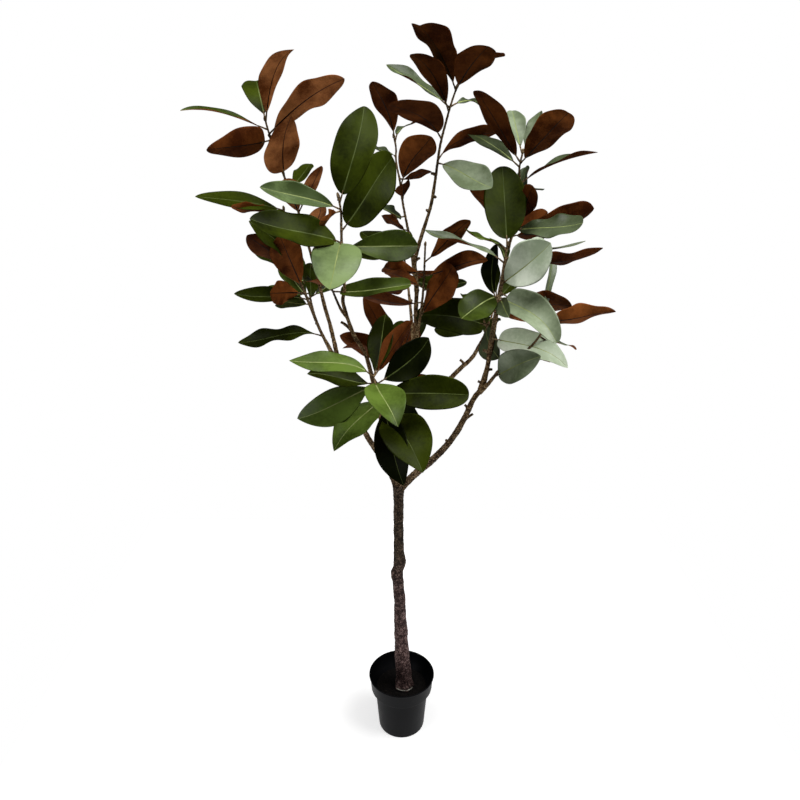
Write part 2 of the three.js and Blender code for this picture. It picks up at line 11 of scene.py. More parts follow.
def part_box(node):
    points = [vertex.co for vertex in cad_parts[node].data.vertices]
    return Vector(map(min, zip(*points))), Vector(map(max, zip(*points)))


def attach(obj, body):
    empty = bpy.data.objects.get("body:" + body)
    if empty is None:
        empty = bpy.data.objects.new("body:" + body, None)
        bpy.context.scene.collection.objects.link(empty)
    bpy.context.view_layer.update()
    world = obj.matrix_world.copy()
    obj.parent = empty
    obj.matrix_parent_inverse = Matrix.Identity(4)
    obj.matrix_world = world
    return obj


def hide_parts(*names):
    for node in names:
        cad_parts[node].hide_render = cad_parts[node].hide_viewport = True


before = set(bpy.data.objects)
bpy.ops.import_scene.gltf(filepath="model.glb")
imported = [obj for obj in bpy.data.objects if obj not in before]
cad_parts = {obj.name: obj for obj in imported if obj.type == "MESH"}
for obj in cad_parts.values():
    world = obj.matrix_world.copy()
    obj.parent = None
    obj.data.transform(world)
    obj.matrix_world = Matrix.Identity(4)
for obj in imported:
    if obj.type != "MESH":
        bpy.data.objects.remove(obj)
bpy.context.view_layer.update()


# Pot
# A thin-walled nursery pot, injection moulded in black plastic, with a deep band under its rim.
# The band stands out from the body on a short ledge, so that pots stack, and the rim is rolled.

class Wire:
    """One output of a shader node. Sums, differences and products of it add Math nodes."""

    def __init__(self, finish, socket):
        self.finish = finish
        self.socket = socket

    def math(self, operation, first, second):
        return self.finish.node("ShaderNodeMath", {"operation": operation}, {0: first, 1: second})

    def __add__(self, other):
        return self.math("ADD", self, other)

    def __radd__(self, other):
        return self.math("ADD", other, self)

    def __sub__(self, other):
        return self.math("SUBTRACT", self, other)

    def __rsub__(self, other):
        return self.math("SUBTRACT", other, self)

    def __mul__(self, other):
        return self.math("MULTIPLY", self, other)

    def __rmul__(self, other):
        return self.math("MULTIPLY", other, self)

    def clamp(self):
        return self.math("MINIMUM", self.math("MAXIMUM", self, 0.0), 1.0)


class Nodes:
    """A node tree, grown one node at a time."""

    def __init__(self, tree):
        self.tree = tree

    def node(self, kind, settings=None, inputs=None, output=0):
        made = self.tree.nodes.new(kind)
        for setting, value in (settings or {}).items():
            if setting == "stops":
                self.stops(made.color_ramp, value)
            else:
                setattr(made, setting, value)
        for socket, value in (inputs or {}).items():
            self.feed(made.inputs[socket], value)
        return Wire(self, made.outputs[output]) if made.outputs else made

    def stops(self, ramp, stops):
        while len(ramp.elements) < len(stops):
            ramp.elements.new(0.5)
        for element, (position, color) in zip(ramp.elements, stops):
            element.position = position
            element.color = (*color, 1)

    def feed(self, socket, value):
        if isinstance(value, Wire):
            self.tree.links.new(value.socket, socket)
        else:
            socket.default_value = value


class Finish(Nodes):
    """A material with one Principled surface."""

    def __init__(self, name, **constants):
        self.material = bpy.data.materials.new(name)
        self.material.use_nodes = True
        super().__init__(self.material.node_tree)
        self.surface = self.tree.nodes["Principled BSDF"]
        for socket, value in constants.items():
            self.surface.inputs[socket.replace("_", " ")].default_value = value
        self.place = self.node("ShaderNodeTexCoord", output="Object")

    def noise(self, scale, detail=3.0, roughness=0.5):
        grain = {"Vector": self.place, "Scale": scale, "Detail": detail, "Roughness": roughness}
        return self.node("ShaderNodeTexNoise", inputs=grain)

    def colors(self, mask, *stops):
        return self.node("ShaderNodeValToRGB", {"stops": stops}, {"Fac": mask})

    def bump(self, height, strength, distance):
        relief = {"Height": height, "Strength": strength, "Distance": distance}
        return self.node("ShaderNodeBump", inputs=relief)

    def wear(self, **wires):
        for socket, wire in wires.items():
            self.feed(self.surface.inputs[socket.replace("_", " ")], wire)
        return self.material


def add_piece(name, vertices, faces, materials, face_slots=None):
    """A smooth mesh object at the origin, with one material slot for each material."""
    mesh = bpy.data.meshes.new(name)
    mesh.from_pydata([tuple(v) for v in vertices], [], [tuple(f) for f in faces])
    for material in materials:
        mesh.materials.append(material)
    mesh.polygons.foreach_set("use_smooth", [True] * len(mesh.polygons))
    if face_slots is not None:
        mesh.polygons.foreach_set("material_index", face_slots)
    mesh.update()
    piece = bpy.data.objects.new(name, mesh)
    bpy.context.scene.collection.objects.link(piece)
    return piece


def finish_piece(piece, slot, *nodes):
    """Fixes a piece to the tree in place of the solids that it refines."""
    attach(piece, "root")
    if nodes:
        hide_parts(*nodes)


def revolve(profile, sides):
    """Vertices and faces of a closed profile of (radius, height) turned round Z, poles included."""
    vertices = []
    rings = []
    for radius, height in profile:
        if radius == 0:
            rings.append([len(vertices)] * sides)
            vertices.append((0, 0, height))
            continue
        rings.append([len(vertices) + i for i in range(sides)])
        for i in range(sides):
            angle = WHOLE_TURN * i / sides
            vertices.append((radius * math.cos(angle), radius * math.sin(angle), height))
    faces = []
    for low, high in zip(rings, rings[1:]):
        for i in range(sides):
            j = (i + 1) % sides
            corners = [low[i], low[j], high[j], high[i]]
            faces.append(list(dict.fromkeys(corners)))
    return vertices, faces


def arc(centre, radius, start, end, steps):
    """Points of a rounded corner in a profile, from one angle to another in degrees."""
    angles = np.radians(np.linspace(start, end, steps))
    return [(centre[0] + radius * math.cos(a), centre[1] + radius * math.sin(a)) for a in angles]


MM = 0.001
WHOLE_TURN = 2 * math.pi
POT_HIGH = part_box("pot")[1]
POT_HEIGHT = POT_HIGH[2]
RIM_RADIUS = POT_HIGH[0]
RIM_ROLL = 2.2 * MM
POT_WALL = 2.5 * MM
BAND_HEIGHT = 50 * MM
BAND_FOOT_RADIUS = 94.5 * MM
BODY_TOP_RADIUS = 82.5 * MM
POT_FOOT_RADIUS = 71.5 * MM
POT_FOOT_ROUND = 3 * MM
POT_FLOOR = 4 * MM
POT_SIDES = 160

band_foot = POT_HEIGHT - BAND_HEIGHT
rim_middle = POT_HEIGHT - RIM_ROLL
pot_profile = [
    (0, 0),
    *arc((POT_FOOT_RADIUS - POT_FOOT_ROUND, POT_FOOT_ROUND), POT_FOOT_ROUND, -90, 0, 7),
    (BODY_TOP_RADIUS - 1.2 * MM, band_foot - 14 * MM),
    *arc((BODY_TOP_RADIUS + 2 * MM, band_foot - 5 * MM), 2.5 * MM, 180, 100, 6),
    *arc((BAND_FOOT_RADIUS - 2 * MM, band_foot + 1 * MM), 2 * MM, -90, 0, 6),
    (RIM_RADIUS - 3 * MM, rim_middle - 5 * MM),
    (RIM_RADIUS - 2.6 * MM, rim_middle - 2.4 * MM),
    *arc((RIM_RADIUS - RIM_ROLL, rim_middle), RIM_ROLL, -60, 150, 12),
    (RIM_RADIUS - 5.2 * MM, rim_middle - 4 * MM),
    (BAND_FOOT_RADIUS - POT_WALL, band_foot + POT_WALL),
    (BODY_TOP_RADIUS - POT_WALL, band_foot - 1 * MM),
    (POT_FOOT_RADIUS - POT_WALL, POT_FLOOR),
    (0, POT_FLOOR),
]

plastic = Finish("pot_plastic", Specular_IOR_Level=0.06)
scuff = plastic.noise(26, 5, 0.6)
grain = plastic.noise(900, 2)
pot_material = plastic.wear(
    Base_Color=plastic.colors(scuff, (0.35, (0.0028, 0.0029, 0.0036)), (0.75, (0.0056, 0.0058, 0.0068))),
    Roughness=0.34 + 0.22 * scuff,
    Normal=plastic.bump(grain, 0.25, 0.0004),
)
pot = add_piece("nursery_pot", *revolve(pot_profile, POT_SIDES), [pot_material])
finish_piece(pot, "pot", "pot")


# Filling
# Cement poured round the foot of the trunk up to the pot's ledge, dark and uneven on top.
# Loose bark crumbs are strewn over it.

FILL_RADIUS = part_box("filling")[1][0]
FILL_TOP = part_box("filling")[1][2]
FILL_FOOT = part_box("filling")[0][2]
FILL_FOOT_RADIUS = 68 * MM
FILL_DISH = 4 * MM
FILL_RINGS = 26
FILL_SIDES = 96
FILL_LUMP = 1.6 * MM
CRUMB_SIZE = 2.2 * MM
CRUMB_DENSITY = 42000.0
CRUMB_SEED = 7

fill_profile = [(0, FILL_FOOT), (FILL_FOOT_RADIUS, FILL_FOOT), (FILL_RADIUS, FILL_TOP - FILL_DISH)]
for ring in range(1, FILL_RINGS):
    share = 1 - ring / FILL_RINGS
    fill_profile.append((FILL_RADIUS * share, FILL_TOP - FILL_DISH * share ** 3))
fill_profile.append((0, FILL_TOP))
fill_vertices, fill_faces = revolve(fill_profile, FILL_SIDES)
for index, (x, y, z) in enumerate(fill_vertices):
    if z > FILL_TOP - FILL_DISH - 1 * MM and math.hypot(x, y) < FILL_RADIUS * 0.99:
        lump = noise.fractal(Vector((x, y, 0)) * 90, 1.0, 2.0, 4)
        fill_vertices[index] = (x, y, z - FILL_LUMP * (0.5 + 0.5 * lump))

cement = Finish("filling_cement", Roughness=0.95, Specular_IOR_Level=0.1)
grit = cement.noise(240, 5, 0.65)
fill_material = cement.wear(
    Base_Color=cement.colors(grit, (0.40, (0.0016, 0.0014, 0.0013)), (0.75, (0.012, 0.010, 0.009))),
    Normal=cement.bump(grit, 0.7, 0.002),
)
fill = add_piece("poured_filling", fill_vertices, fill_faces, [fill_material])
finish_piece(fill, "filling", "filling")

crumb = Finish("bark_crumb", Roughness=0.85, Specular_IOR_Level=0.15)
crumb_shade = crumb.noise(160, 2)
crumb_material = crumb.wear(
    Base_Color=crumb.colors(crumb_shade, (0.4, (0.0022, 0.0018, 0.0016)), (0.8, (0.030, 0.022, 0.018))),
)


def crumb_tree():
    """Strews crumbs over the faces that look up, each turned and sized at random."""
    group = bpy.data.node_groups.new("strewn_crumbs", "GeometryNodeTree")
    grow = Nodes(group)
    group.interface.new_socket("Geometry", in_out="INPUT", socket_type="NodeSocketGeometry")
    sizes = {}
    for label, kind in (("Density", "Float"), ("Crumb Size", "Float"), ("Seed", "Int")):
        socket = group.interface.new_socket(label, in_out="INPUT", socket_type="NodeSocket" + kind)
        sizes[label] = socket.identifier
    group.interface.new_socket("Geometry", in_out="OUTPUT", socket_type="NodeSocketGeometry")

    def given(label):
        return grow.node("NodeGroupInput", output=label)

    def between(low, high):
        spread = {"Min": low, "Max": high, "Seed": given("Seed")}
        return grow.node("FunctionNodeRandomValue", {"data_type": "FLOAT_VECTOR"}, spread)

    facing = grow.node("ShaderNodeSeparateXYZ", inputs={0: grow.node("GeometryNodeInputNormal")}, output="Z")
    upward = grow.node("FunctionNodeCompare", {"operation": "GREATER_THAN"}, {0: facing, 1: 0.6})
    ground = {
        "Mesh": given("Geometry"), "Selection": upward, "Density": given("Density"), "Seed": given("Seed"),
    }
    points = grow.node("GeometryNodeDistributePointsOnFaces", inputs=ground)
    lump = grow.node("GeometryNodeMeshIcoSphere", inputs={"Radius": 1.0, "Subdivisions": 1})
    turn = between((0, 0, 0), (WHOLE_TURN,) * 3)
    shape = {0: between((0.3, 0.25, 0.15), (1.0, 0.7, 0.45)), "Scale": given("Crumb Size")}
    size = grow.node("ShaderNodeVectorMath", {"operation": "SCALE"}, shape)
    copies = {"Points": points, "Instance": lump, "Rotation": turn, "Scale": size}
    strewn = grow.node("GeometryNodeInstanceOnPoints", inputs=copies)
    real = grow.node("GeometryNodeRealizeInstances", inputs={0: strewn})
    dressed = grow.node("GeometryNodeSetMaterial", inputs={"Geometry": real, "Material": crumb_material})
    grow.node("NodeGroupOutput", inputs={0: dressed})
    return group, sizes


def made_plain(piece):
    """Turns the result of a piece's nodes into its own mesh and removes the modifier."""
    bpy.context.view_layer.update()
    evaluated = piece.evaluated_get(bpy.context.evaluated_depsgraph_get())
    mesh = bpy.data.meshes.new_from_object(evaluated)
    piece.modifiers.clear()
    piece.data = mesh
    return piece


crumbs = add_piece("bark_crumbs", fill_vertices, fill_faces, [crumb_material])
crumb_nodes, crumb_inputs = crumb_tree()
strewing = crumbs.modifiers.new("Strewing", "NODES")
strewing.node_group = crumb_nodes
strewing[crumb_inputs["Density"]] = CRUMB_DENSITY
strewing[crumb_inputs["Crumb Size"]] = CRUMB_SIZE
strewing[crumb_inputs["Seed"]] = CRUMB_SEED
finish_piece(made_plain(crumbs), "filling")


# Trunk and boughs
# Moulded bark over a core, dark purplish brown and rough all over, with two knots at a kink.
# Five slender boughs part at the fork, and lesser ones leave them higher up.

FORK_HEIGHT = 862
TRUNK_FOOT = 145.3
TRUNK_LINE = [
    (8, 0, TRUNK_FOOT), (0, 0, 300), (-6, 0, 470), (-12, 0, 565), (-8, 0, 605), (-9, 0, 715),
    (-9, 0, FORK_HEIGHT),
]
TRUNK_RADII = [(145, 27), (175, 23.5), (300, 20.5), (470, 16.5), (715, 14), (820, 13.5), (FORK_HEIGHT, 16)]
KNOTS = [(606, 0, 6), (566, 180, 4), (380, 250, 4)]
KNOT_REACH = 18
GLUE_ARC = (215, 330)
GLUE_RADIUS = 30
GLUE_BEAD_RADIUS = 1.4
GLUE_RISE = 5.5
GLUE_RINGS = 40
ROOT_LOBES = 5
ROOT_LOBE_DEPTH = 0.16
ROOT_LOBE_FADE = 45
STEM_TIP_RADIUS = 2.2

# Each limb runs from inside its parent to its furthest stem tip, in millimetres. Its last stretch,
# as long as its reach, is the stem of a mass of leaves, the spray.
LIMBS = [
    dict(
        name="bough_right", radii=(10.5, 5), spray="leaves_right_front", reach=240,
        line=[(-9, 0, 845), (35, -5, 895), (80, -10, 940), (125, -15, 995), (160, -20, 1060),
              (185, -25, 1125), (205, -30, 1160), (215, -40, 1215), (220, -50, 1300), (230, -60, 1400),
              (240, -60, 1485), (245, -60, 1525)],
    ),
    dict(
        name="bough_right_rear", radii=(6, 3.5), spray="leaves_right_top", reach=200,
        line=[(202, -29, 1153), (222, -10, 1225), (233, 0, 1305), (242, 5, 1385), (253, 8, 1455),
              (260, 10, 1515), (275, 25, 1560), (280, 30, 1605), (280, 30, 1655), (276, 25, 1690),
              (280, 20, 1725)],
    ),
    dict(
        name="bough_right_low", radii=(6, 4.2), spray="leaves_right_low", reach=215,
        line=[(200, -28, 1147), (216, -45, 1172), (228, -60, 1197), (252, -75, 1237), (274, -85, 1257),
              (298, -92, 1277), (320, -92, 1301), (337, -90, 1330), (345, -85, 1363)],
    ),
    dict(
        name="bough_middle", radii=(9, 3.5), spray="leaves_top", reach=205,
        line=[(-9, 0, 845), (9, 15, 930), (25, 30, 1043), (35, 42, 1154), (39, 50, 1270),
              (36, 55, 1330), (38, 60, 1406), (32, 60, 1457), (42, 60, 1507), (57, 60, 1556),
              (71, 60, 1604), (80, 60, 1662), (90, 60, 1739), (105, 60, 1800), (115, 60, 1835),
              (125, 55, 1865)],
    ),
    dict(
        name="bough_inner", radii=(7.5, 5), spray="leaves_inner", reach=70,
        line=[(29, 35, 1086), (60, 45, 1104), (92, 55, 1123), (119, 63, 1140), (138, 70, 1155),
              (165, 80, 1180), (179, 85, 1190), (195, 92, 1207), (208, 98, 1231), (221, 103, 1257),
              (231, 107, 1287)],
    ),
    dict(
        name="bough_middle_side", radii=(4.5, 3.5), spray="leaves_middle", reach=186,
        line=[(39, 50, 1275), (46, 36, 1325), (52, 30, 1380), (55, 30, 1435), (57, 30, 1510)],
    ),
    dict(
        name="bough_back_top", radii=(5, 3.5), spray="leaves_back_top", reach=240,
        line=[(38, 60, 1390), (28, 90, 1459), (18, 120, 1522), (8, 140, 1570), (0, 150, 1611),
              (-5, 160, 1650), (-15, 165, 1700), (-15, 170, 1730), (-20, 170, 1755)],
    ),
    dict(
        name="bough_left", radii=(9, 4), spray="leaves_left", reach=350,
        line=[(-9, 0, 845), (-38, -5, 915), (-70, -8, 972), (-99, 0, 1021), (-133, 20, 1105),
              (-164, 38, 1183), (-186, 48, 1233), (-214, 55, 1288), (-237, 60, 1350), (-250, 65, 1385),
              (-265, 70, 1420), (-280, 70, 1460), (-285, 65, 1510), (-285, 60, 1550), (-289, 56, 1592)],
    ),
    dict(
        name="bough_left_rear", radii=(6, 3.5), spray="leaves_left_top", reach=318,
        line=[(-162, 37, 1179), (-174, 60, 1229), (-190, 85, 1293), (-203, 95, 1339),
              (-219, 105, 1409), (-240, 110, 1495), (-250, 105, 1540), (-260, 95, 1585),
              (-275, 80, 1630), (-285, 65, 1670), (-300, 50, 1725), (-310, 35, 1770), (-315, 30, 1795)],
    ),
    dict(
        name="bough_front", radii=(8, 3.5), spray="leaves_front_low", reach=190, blade=(0.5, 0.95),
        line=[(-9, 0, 845), (-24, -14, 905), (-31, -45, 985), (-36, -92, 1083), (-45, -150, 1180),
              (-50, -185, 1215), (-60, -215, 1245), (-65, -240, 1265)],
    ),
    dict(
        name="bough_front_left", radii=(6.5, 3.5), spray="leaves_centre", reach=122,
        line=[(-30, -41, 975), (-48, -68, 1060), (-62, -92, 1150), (-75, -107, 1225),
              (-89, -112, 1280), (-114, -115, 1325), (-131, -118, 1380), (-137, -122, 1411),
              (-132, -126, 1443), (-135, -130, 1523), (-135, -130, 1545), (-135, -125, 1580),
              (-135, -120, 1610), (-140, -120, 1640)],
    ),
    dict(
        name="bough_centre_side", radii=(3.2, 3), spray="leaves_centre_side", reach=52,
        line=[(-127, -117, 1366), (-142, -110, 1384), (-152, -112, 1408), (-162, -120, 1438)],
    ),
    dict(
        name="bough_back_low", radii=(8, 3.5), spray="leaves_back_low", reach=120,
        line=[(-9, 0, 845), (-8, 24, 905), (0, 90, 980), (10, 170, 1045), (5, 235, 1105),
              (0, 270, 1150)],
    ),
    dict(
        name="bough_back_middle", radii=(6, 3.5), spray="leaves_back_middle", reach=150,
        line=[(33, 40, 1135), (32, 80, 1195), (28, 150, 1270), (20, 225, 1345), (10, 280, 1415),
              (0, 300, 1470)],
    ),
    dict(
        name="bough_back_right", radii=(5, 3.5), spray="leaves_back_right", reach=120,
        line=[(138, 70, 1155), (150, 86, 1163), (168, 105, 1171), (200, 140, 1191), (219, 170, 1214),
              (240, 195, 1244), (270, 240, 1330)],
    ),
    dict(
        name="bough_back_left", radii=(6, 3.5), spray="leaves_back_left", reach=120,
        line=[(-128, 17, 1093), (-150, 65, 1135), (-195, 130, 1200), (-240, 190, 1280),
              (-262, 215, 1370)],
    ),
]

BARK_RING_SPACING = 2.4
TRUNK_SIDES = 84
BOUGH_SIDES = 26
COLLAR_SWELL = 0.35
COLLAR_REACH = 14
BARK_DEPTH = 0.12
BARK_CRACK_SIZE = 7.0
BARK_PIMPLE_SIZE = 4.2


class Line:
    """A smooth curve through points, measured by the distance along it."""

    DIVISIONS = 400

    def __init__(self, points):
        points = np.array(points, float)
        self.points = np.vstack([2 * points[0] - points[1], points, 2 * points[-1] - points[-2]])
        self.steps = np.linspace(0, len(points) - 1, self.DIVISIONS + 1)
        spots = self.spot(self.steps)
        self.lengths = np.concatenate([[0], np.cumsum(np.linalg.norm(np.diff(spots, axis=0), axis=1))])
        self.length = self.lengths[-1]

    def spot(self, step):
        span = np.minimum(np.floor(step).astype(int), len(self.points) - 4)
        t = (step - span)[:, None]
        before, start, end, after = (self.points[span + i] for i in range(4))
        leave, arrive = (end - before) / 2, (after - start) / 2
        return (
            start + leave * t + (3 * (end - start) - 2 * leave - arrive) * t ** 2
            + (2 * (start - end) + leave + arrive) * t ** 3
        )

    def at(self, distance):
        return self.spot(np.interp(np.atleast_1d(distance), self.lengths, self.steps))

    def along(self, distance):
        distance = np.atleast_1d(distance)
        ahead = self.at(np.minimum(distance + 0.5, self.length))
        behind = self.at(np.maximum(distance - 0.5, 0))
        step = ahead - behind
        return step / np.linalg.norm(step, axis=1, keepdims=True)


class Meshes:
    """Vertices and faces of many small shapes, gathered into one piece."""

    def __init__(self):
        self.vertices = []
        self.faces = []
        self.slots = []
        self.count = 0

    def add(self, vertices, faces, slots):
        self.vertices.append(np.asarray(vertices))
        self.faces.extend([[corner + self.count for corner in face] for face in faces])
        self.slots.extend([slots] * len(faces) if isinstance(slots, int) else slots)
        self.count += len(vertices)

    def piece(self, name, materials):
        return add_piece(name, np.vstack(self.vertices) * MM, self.faces, materials, self.slots)


def value_at(rows, key):
    return np.interp(key, [row[0] for row in rows], [row[1] for row in rows])


def tube(middles, tangents, radii, sides, relief):
    """A closed round limb, its skin raised by relief(spot, radius, heading) at every vertex."""
    vertices = []
    side = np.array([1.0, 0, 0])
    for middle, tangent, radius in zip(middles, tangents, radii):
        side = side - tangent * side.dot(tangent)
        side /= np.linalg.norm(side)
        up = np.cross(tangent, side)
        for i in range(sides):
            heading = WHOLE_TURN * i / sides
            out = side * math.cos(heading) + up * math.sin(heading)
            skin = middle + out * radius
            vertices.append(skin + out * relief(skin, radius, out))
    rings = len(middles)
    faces = []
    for ring in range(rings - 1):
        for i in range(sides):
            j = (i + 1) % sides
            low, high = ring * sides, (ring + 1) * sides
            faces.append([low + i, low + j, high + j, high + i])
    start, end = len(vertices), len(vertices) + 1
    vertices += [middles[0], middles[-1]]
    last = (rings - 1) * sides
    for i in range(sides):
        j = (i + 1) % sides
        faces.append([start, j, i])
        faces.append([end, last + i, last + j])
    return np.array(vertices), faces


def bark_relief(skin, radius, out):
    """Scaly plates split by cracks, with small pimples over them."""
    spot = Vector(skin)
    plate = noise.voronoi(Vector((spot.x, spot.y, spot.z * 0.7)) / BARK_CRACK_SIZE)[0]
    crack = min(1.0, (plate[1] - plate[0]) * 2.5)
    pimple = noise.voronoi(spot / BARK_PIMPLE_SIZE)[0][0]
    swell = noise.noise(spot / 28)
    depth = BARK_DEPTH * (radius + 3)
    return depth * (0.55 * crack + 0.45 * (0.6 - pimple) + 0.8 * swell - 0.2)


def trunk_skin(skin, radius, out):
    """Bark with root lobes at the foot and knots where side shoots were cut away."""
    height, heading = skin[2], math.atan2(out[1], out[0])
    flare = math.exp(-(height - TRUNK_FOOT) / ROOT_LOBE_FADE)
    raised = radius * ROOT_LOBE_DEPTH * flare * math.cos(heading * ROOT_LOBES)
    for knot_height, knot_heading, size in KNOTS:
        turn = 0.5 + 0.5 * math.cos(heading - math.radians(knot_heading))
        raised += size * turn ** 4 * math.exp(-(((height - knot_height) / KNOT_REACH) ** 2))
    return raised + bark_relief(skin, radius, out)


def level_rings(line, count):
    """Ring centres spread evenly along a nearly upright line, with level rings."""
    distances = np.linspace(0, line.length, count)
    return line.at(distances), np.tile([0.0, 0, 1], (count, 1))


def rough_bark(name, turn, low_stops, high_stops):
    """Bark in one set of colours below a height and another above it."""
    bark = Finish(name, Roughness=0.82, Specular_IOR_Level=0.15)
    height = bark.node("ShaderNodeSeparateXYZ", inputs={0: bark.place}, output="Z")
    patch = bark.noise(60, 4, 0.6)
    speck = bark.noise(230, 3, 0.7)
    mottle = patch * 0.35 + speck * 0.65
    above = ((height - turn) * 9.0 + 0.5).clamp()
    mixed = {"Factor": above, "A": bark.colors(mottle, *low_stops), "B": bark.colors(mottle, *high_stops)}
    color = bark.node("ShaderNodeMix", {"data_type": "RGBA"}, mixed, "Result")
    return bark.wear(Base_Color=color, Normal=bark.bump(speck, 1.0, 0.003))


trunk_bark = rough_bark(
    "trunk_bark", 0.58,
    [(0.40, (0.010, 0.005, 0.005)), (0.51, (0.062, 0.034, 0.031)), (0.61, (0.320, 0.215, 0.195))],
    [(0.40, (0.006, 0.004, 0.002)), (0.51, (0.044, 0.028, 0.017)), (0.61, (0.180, 0.125, 0.085))],
)
bough_bark = rough_bark(
    "bough_bark", 1.05,
    [(0.40, (0.012, 0.006, 0.002)), (0.51, (0.090, 0.056, 0.028)), (0.61, (0.380, 0.270, 0.160))],
    [(0.40, (0.026, 0.013, 0.005)), (0.51, (0.165, 0.098, 0.038)), (0.61, (0.490, 0.350, 0.190))],
)

trunk_line = Line(TRUNK_LINE)
trunk_middles, trunk_tangents = level_rings(trunk_line, int(trunk_line.length / BARK_RING_SPACING))
trunk_radii = value_at(TRUNK_RADII, trunk_middles[:, 2])
trunk_mesh = Meshes()
trunk_mesh.add(*tube(trunk_middles, trunk_tangents, trunk_radii, TRUNK_SIDES, trunk_skin), 0)
finish_piece(trunk_mesh.piece("bark_trunk", [trunk_bark]), "bark", "trunk")

glue = Finish("dry_glue", Roughness=0.5)
glue_cloud = glue.noise(150, 3)
glue_material = glue.wear(
    Base_Color=glue.colors(glue_cloud, (0.35, (0.05, 0.045, 0.035)), (0.65, (0.45, 0.42, 0.36))),
)
glue_turns = np.radians(np.linspace(*GLUE_ARC, GLUE_RINGS))
glue_middles = np.array([
    [TRUNK_LINE[0][0] + GLUE_RADIUS * math.cos(turn), GLUE_RADIUS * math.sin(turn), TRUNK_FOOT + GLUE_RISE]
    for turn in glue_turns
])
glue_bead = Meshes()
glue_bead.add(*tube(
    glue_middles, np.array([[-math.sin(turn), math.cos(turn), 0] for turn in glue_turns]),
    np.full(GLUE_RINGS, GLUE_BEAD_RADIUS), 8, lambda skin, radius, out: 0.6 * noise.noise(Vector(skin) / 4),
), 0)
finish_piece(glue_bead.piece("glue_line", [glue_material]), "filling")


def limb_radii(limb, line, distances):
    end = line.length - limb["reach"]
    rows = [(0, limb["radii"][0]), (end, limb["radii"][1]), (line.length, STEM_TIP_RADIUS)]
    return value_at(rows, distances)


def limb_tube(limb, line, start, stop, sides, relief):
    """The stretch of a limb between two distances, swollen into a collar at its root."""
    distances = np.linspace(start, stop, max(4, int((stop - start) / BARK_RING_SPACING)))
    swell = 1 + COLLAR_SWELL * np.exp(-distances / COLLAR_REACH)
    radii = limb_radii(limb, line, distances) * swell
    return tube(line.at(distances), line.along(distances), radii, sides, relief)


boughs = Meshes()
for limb in LIMBS:
    limb["path"] = Line(limb["line"])
    bough_end = limb["path"].length - limb["reach"]
    boughs.add(*limb_tube(limb, limb["path"], 0, bough_end + 2, BOUGH_SIDES, bark_relief), 0)
bough_piece = boughs.piece("bark_boughs", [bough_bark])
finish_piece(bough_piece, "bark", *[limb["name"] for limb in LIMBS])


# Twigs
# Paper-wrapped wire, tan brown and dotted with rough glue. The stem of each mass carries a short
# stalk for every leaf and a bud at its tip, and bare stubs are left where shoots were snipped off.

STALK_LENGTH = 18
STALK_RADII = (2.3, 1.5)
TWIG_SIDES = 12
BUD_RADIUS = 3.2
STUB_SPACING = 170
STUB_LENGTH = (12, 20)
STUB_LIFT = (20, 60)
STUB_RADII = (4.2, 3.2)
STUB_SCATTER = 50
STUB_BOW = 2
STUB_SEED = 500
LEAF_SEEDS = 100

# Snipped shoots, by their distance along the limb, their heading and lift in degrees and their length.
STUBS = dict(
    bough_right=[(195, 119, 65, 15), (271, 17, 36, 38), (310, 144, 56, 18), (392, 159, 41, 17),
                 (435, 9, 19, 15), (486, 171, 23, 18)],
    bough_inner=[(176, 155, 47, 18)],
    bough_middle=[(627, 17, 35, 16), (754, 166, 29, 9), (791, 353, -15, 9), (841, 170, 22, 13)],
    bough_front_left=[(381, 162, 37, 35), (685, 119, 65, 14)],
)
WIDTH_SHARE = (0.39, 0.47)
BEND = (10, 60)
FOLD = (4, 26)
SWAY = (-0.4, 0.4)
LEAF_PEAK = 0.57
LEAF_POINT = 0.72


def leaf(below, heading, lift, roll, length, **shape):
    """A leaf by its distance below the stem's tip, its direction and roll in degrees and its length.

    Its width, and the bend and fold of its blade in degrees, are drawn where not given; its sweep is
    nought unless given. The blade is widest at its peak, a share of its length, and blunter the lower
    its point. A leaf may have a face or a back of its own, paler or darker than those of its spray.
    """
    return dict(below=below, heading=heading, lift=lift, roll=roll, length=length, **shape)


def draws(seed):
    """A draw of seeded numbers from 0 to 1."""
    state = seed
    while True:
        state = (state * 1664525 + 1013904223) % 4294967296
        yield state / 4294967296


def blend(low, high, share):
    return low + (high - low) * share
